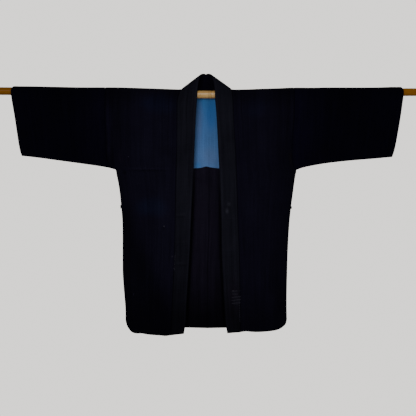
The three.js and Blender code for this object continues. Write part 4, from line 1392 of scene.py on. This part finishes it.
class HANTEN_OT_lining(bpy.types.Operator):
    """Make the blue shoulder lining inside the back"""

    bl_idname = "hanten.lining"
    bl_label = "Shoulder lining"

    def execute(self, context):
        settings = context.scene.hanten_cloth
        material = cotton(
            "blue lining cotton", settings.lining_colour, pitch=settings.thread_pitch * 0.8,
            depth=0.2 * MM, streak=0.13, mottle=0.1, specular=0.1,
        )
        seams = []
        for side in SIDES:
            sheet = SHEETS["lining", side]
            relief = hang_relief(sheet.x, sheet.z, "back") * free_of_rod(sheet)
            sheet.points[..., 1] += relief * apart(sheet)
            edges = np.minimum(sheet.from_end, sheet.from_far)
            drawn_up = 1.5 * MM + 3 * MM * bump(np.abs(sheet.x - LINING_NOTCH), 15 * MM)
            sheet.points[..., 2] += drawn_up * (1 - smoothstep(0, 40 * MM, sheet.from_end))
            height = (sheet.z - LINING_LOWER_EDGE) / (LINING_TOP - LINING_LOWER_EDGE)
            height = np.clip(height, 0, 1)[..., None]
            tint = np.array(LINING_LOW_TINT) * (1 - height) + np.array(LINING_TOP_TINT) * height
            # The lining's fades, and painted shade along the centre seam.
            tint *= tint_of(sheet, (), ("lining",)) * edged(sheet.from_near, 3 * MM, -0.12)
            piece = closed_shell(
                f"shoulder_lining_{side}_cloth", sheet, settings.lining_wall, material,
                lift=0.15 * MM * bump(np.abs(edges - 7 * MM), 3 * MM), tint=tint,
            )
            dressed(piece, f"shoulder_lining_{side}")
            seams.append(down_at(sheet, -LINING_FELL))
        stitches = context.scene.hanten_stitches
        blue = thread("blue sewing thread", stitches.blue_thread)
        sewn("lining_fell_stitches", seams, blue, "lining_cotton", pitch=6.5 * MM,
             length=2.6 * MM, thickness=0.5 * MM, rise=0.2 * MM, slant=0.9, seed=19)
        return {"FINISHED"}


# ---- Rod ----
def rod_axis(x):
    """Height of the rod's axis, which sags between its ends."""
    return ROD_RISE * math.sin(math.pi * x / (2 * ROD_HALF)) ** 2


def rod_radius(x, turn, place, span, wander):
    """Radius of a length of the rod, place from its joint and turn round it."""
    ring = 0.6 * MM * bump(abs(place - 1.7 * MM), 1.7 * MM)
    groove = 0.25 * MM * bump(abs(place - ROD_GROOVE), 1.0 * MM)
    ease = 1.0 * MM * max(0.0, 1 - (span - place) / (1.2 * MM)) ** 2
    ease += 0.5 * MM * max(0.0, 1 - place / (0.4 * MM)) ** 2
    uneven = 0.06 * MM * (
        math.sin(2 * turn + wander[0] + 9 * x) + math.sin(3 * turn + wander[1] - 14 * x)
        + math.sin(41 * x + wander[2])
    )
    return ROD_RADIUS - 0.2 * MM + uneven + ring - ease - groove


def rod_length(side, facets, materials):
    """One length of the rod, turned slightly uneven, with eased ends and a ring at the joint."""
    low, high = (corner[0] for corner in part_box(f"rod_{side}"))
    joint, end = (high, low) if side == "right" else (low, high)
    way = 1 if end > joint else -1
    span = abs(end - joint)
    places = [p * MM for p in ROD_NEAR_JOINT]
    places += list(np.linspace(0.012, span - 0.012, ROD_STEPS))
    places += [span - p * MM for p in ROD_NEAR_END]
    wander = np.random.default_rng(ROD_SEEDS[side]).uniform(0, 2 * math.pi, 6)
    points, tints = [], []
    for place in places:
        x = joint + way * place
        shade = 1 - 0.5 * math.exp(-(((place - ROD_GROOVE) / (0.9 * MM)) ** 2))
        tint = np.array(ROD_TINT) * ROD_WARMTH[side] * shade
        for k in range(facets):
            turn = 2 * math.pi * k / facets
            radius = rod_radius(x, turn, place, span, wander)
            points.append((x, radius * math.cos(turn), rod_axis(x) + radius * math.sin(turn)))
            tints.append(tint)
    faces = []
    for i in range(len(places) - 1):
        for k in range(facets):
            here, there = i * facets, (i + 1) * facets
            after = (k + 1) % facets
            faces.append((here + k, here + after, there + after, there + k))
    for i in (0, len(places) - 1):
        x = joint + way * places[i]
        middle = len(points)
        points.append((x, 0.0, rod_axis(x)))
        tints.append(ROD_END_TINT)
        for k in range(facets):
            edge = (i * facets + k, i * facets + (k + 1) % facets)
            faces.append((middle, *edge) if i else (middle, *edge[::-1]))
    mesh = bpy.data.meshes.new(f"rod_{side}_wood")
    mesh.from_pydata(points, [], faces)
    bm = bmesh.new()
    bm.from_mesh(mesh)
    bmesh.ops.recalc_face_normals(bm, faces=bm.faces)
    bm.to_mesh(mesh)
    bm.free()
    smoothed(mesh)
    paint(mesh, np.array(tints))
    piece = added(f"rod_{side}_wood", mesh, materials[0])
    mesh.materials.append(materials[1])
    for polygon in mesh.polygons:
        polygon.material_index = int(abs(polygon.center.x) > ROD_ENDS_FROM)
    return piece


class HANTEN_OT_rod(bpy.types.Operator):
    """Make the rod's two lengths, with the ring where they meet"""

    bl_idname = "hanten.rod"
    bl_label = "Rod"

    def execute(self, context):
        settings = context.scene.hanten_rod
        materials = (
            wood("oiled rod wood", settings.pale_colour, settings.deep_colour, 1.0),
            # The ends: the same wood in darker colours, painted shade, and nearly matt.
            wood("rod wood in painted shade", settings.pale_end_colour, settings.deep_end_colour, 0.05),
        )
        for side in SIDES:
            piece = rod_length(side, settings.facets, materials)
            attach(piece, "root")
            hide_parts(f"rod_{side}")
        return {"FINISHED"}


# ---- Stage ----
def soft_light(name, power, size, place):
    """A square lamp that faces the jacket."""
    light = bpy.data.lights.new(name, "AREA")
    light.energy = power
    light.size = size
    lamp = bpy.data.objects.new(name, light)
    lamp.location = place
    facing = Vector(place) - Vector(LIT_POINT)
    lamp.rotation_euler = facing.to_track_quat("Z", "Y").to_euler()
    bpy.context.scene.collection.objects.link(lamp)


class HANTEN_OT_stage(bpy.types.Operator):
    """Make the floor, the lights and the camera"""

    bl_idname = "hanten.stage"
    bl_label = "Stage"

    def execute(self, context):
        settings = context.scene.hanten_stage
        scene = context.scene
        half, level = FLOOR_HALF, settings.floor_level
        corners = ((-half, -half), (half, -half), (half, half), (-half, half))
        mesh = bpy.data.meshes.new("studio_floor")
        mesh.from_pydata([(x, y, level) for x, y in corners], [], [(0, 1, 2, 3)])
        paper = studio_paper("pale studio floor", (0.78, 0.77, 0.76))
        added("studio_floor", mesh, paper)
        camera_data = bpy.data.cameras.new("studio_camera")
        camera = bpy.data.objects.new("studio_camera", camera_data)
        scene.collection.objects.link(camera)
        camera.location = Vector(VIEW_CENTRE) - Vector((0, settings.distance, 0))
        camera.rotation_euler = (math.pi / 2, settings.roll, 0)
        camera_data.sensor_width = SENSOR
        camera_data.lens = SENSOR * settings.distance / settings.view_width
        camera_data.clip_end = 60
        scene.camera = camera
        for name, share, size, place in LIGHTS:
            soft_light(name, settings.key_power * share, size, place)
        world = bpy.data.worlds.new("studio_world")
        scene.world = world
        world.use_nodes = True
        nodes = Nodes(world.node_tree)
        sky = world.node_tree.nodes["Background"]
        seen = nodes.add("ShaderNodeLightPath").outputs["Is Camera Ray"]
        nodes.give(sky.inputs["Color"], (*SKY_COLOUR, 1))
        nodes.give(sky.inputs["Strength"], nodes.span(seen, 0, 1, SKY_LIGHT, SKY_SEEN))
        return {"FINISHED"}


# ---- The add-on ----
OPERATORS = (
    HANTEN_OT_stage, HANTEN_OT_rod, HANTEN_OT_body, HANTEN_OT_sleeves, HANTEN_OT_collar,
    HANTEN_OT_mends, HANTEN_OT_lining,
)


class HANTEN_PT_panel(bpy.types.Panel):
    bl_idname = "HANTEN_PT_panel"
    bl_label = "Hanten jacket"
    bl_space_type = "VIEW_3D"
    bl_region_type = "UI"
    bl_category = "Hanten"

    def draw(self, context):
        for settings in ("hanten_cloth", "hanten_stitches", "hanten_rod", "hanten_stage"):
            group = getattr(context.scene, settings)
            box = self.layout.box()
            for name in group.bl_rna.properties.keys():
                if name not in ("rna_type", "name"):
                    box.prop(group, name)
        for operator in OPERATORS:
            self.layout.operator(operator.bl_idname)


SETTINGS = {
    "hanten_cloth": HantenClothSettings,
    "hanten_stitches": HantenStitchSettings,
    "hanten_rod": HantenRodSettings,
    "hanten_stage": HantenStageSettings,
}


def register():
    for kind in (*SETTINGS.values(), *OPERATORS, HANTEN_PT_panel):
        bpy.utils.register_class(kind)
    for name, kind in SETTINGS.items():
        setattr(bpy.types.Scene, name, PointerProperty(type=kind))


def unregister():
    for name in SETTINGS:
        delattr(bpy.types.Scene, name)
    for kind in reversed((*SETTINGS.values(), *OPERATORS, HANTEN_PT_panel)):
        bpy.utils.unregister_class(kind)


def main():
    register()
    bpy.ops.hanten.stage()
    bpy.ops.hanten.rod()
    SHEETS.update(all_sheets())
    bpy.ops.hanten.body()
    bpy.ops.hanten.sleeves()
    bpy.ops.hanten.collar()
    bpy.ops.hanten.mends()
    bpy.ops.hanten.lining()


if __name__ == "__main__":
    main()
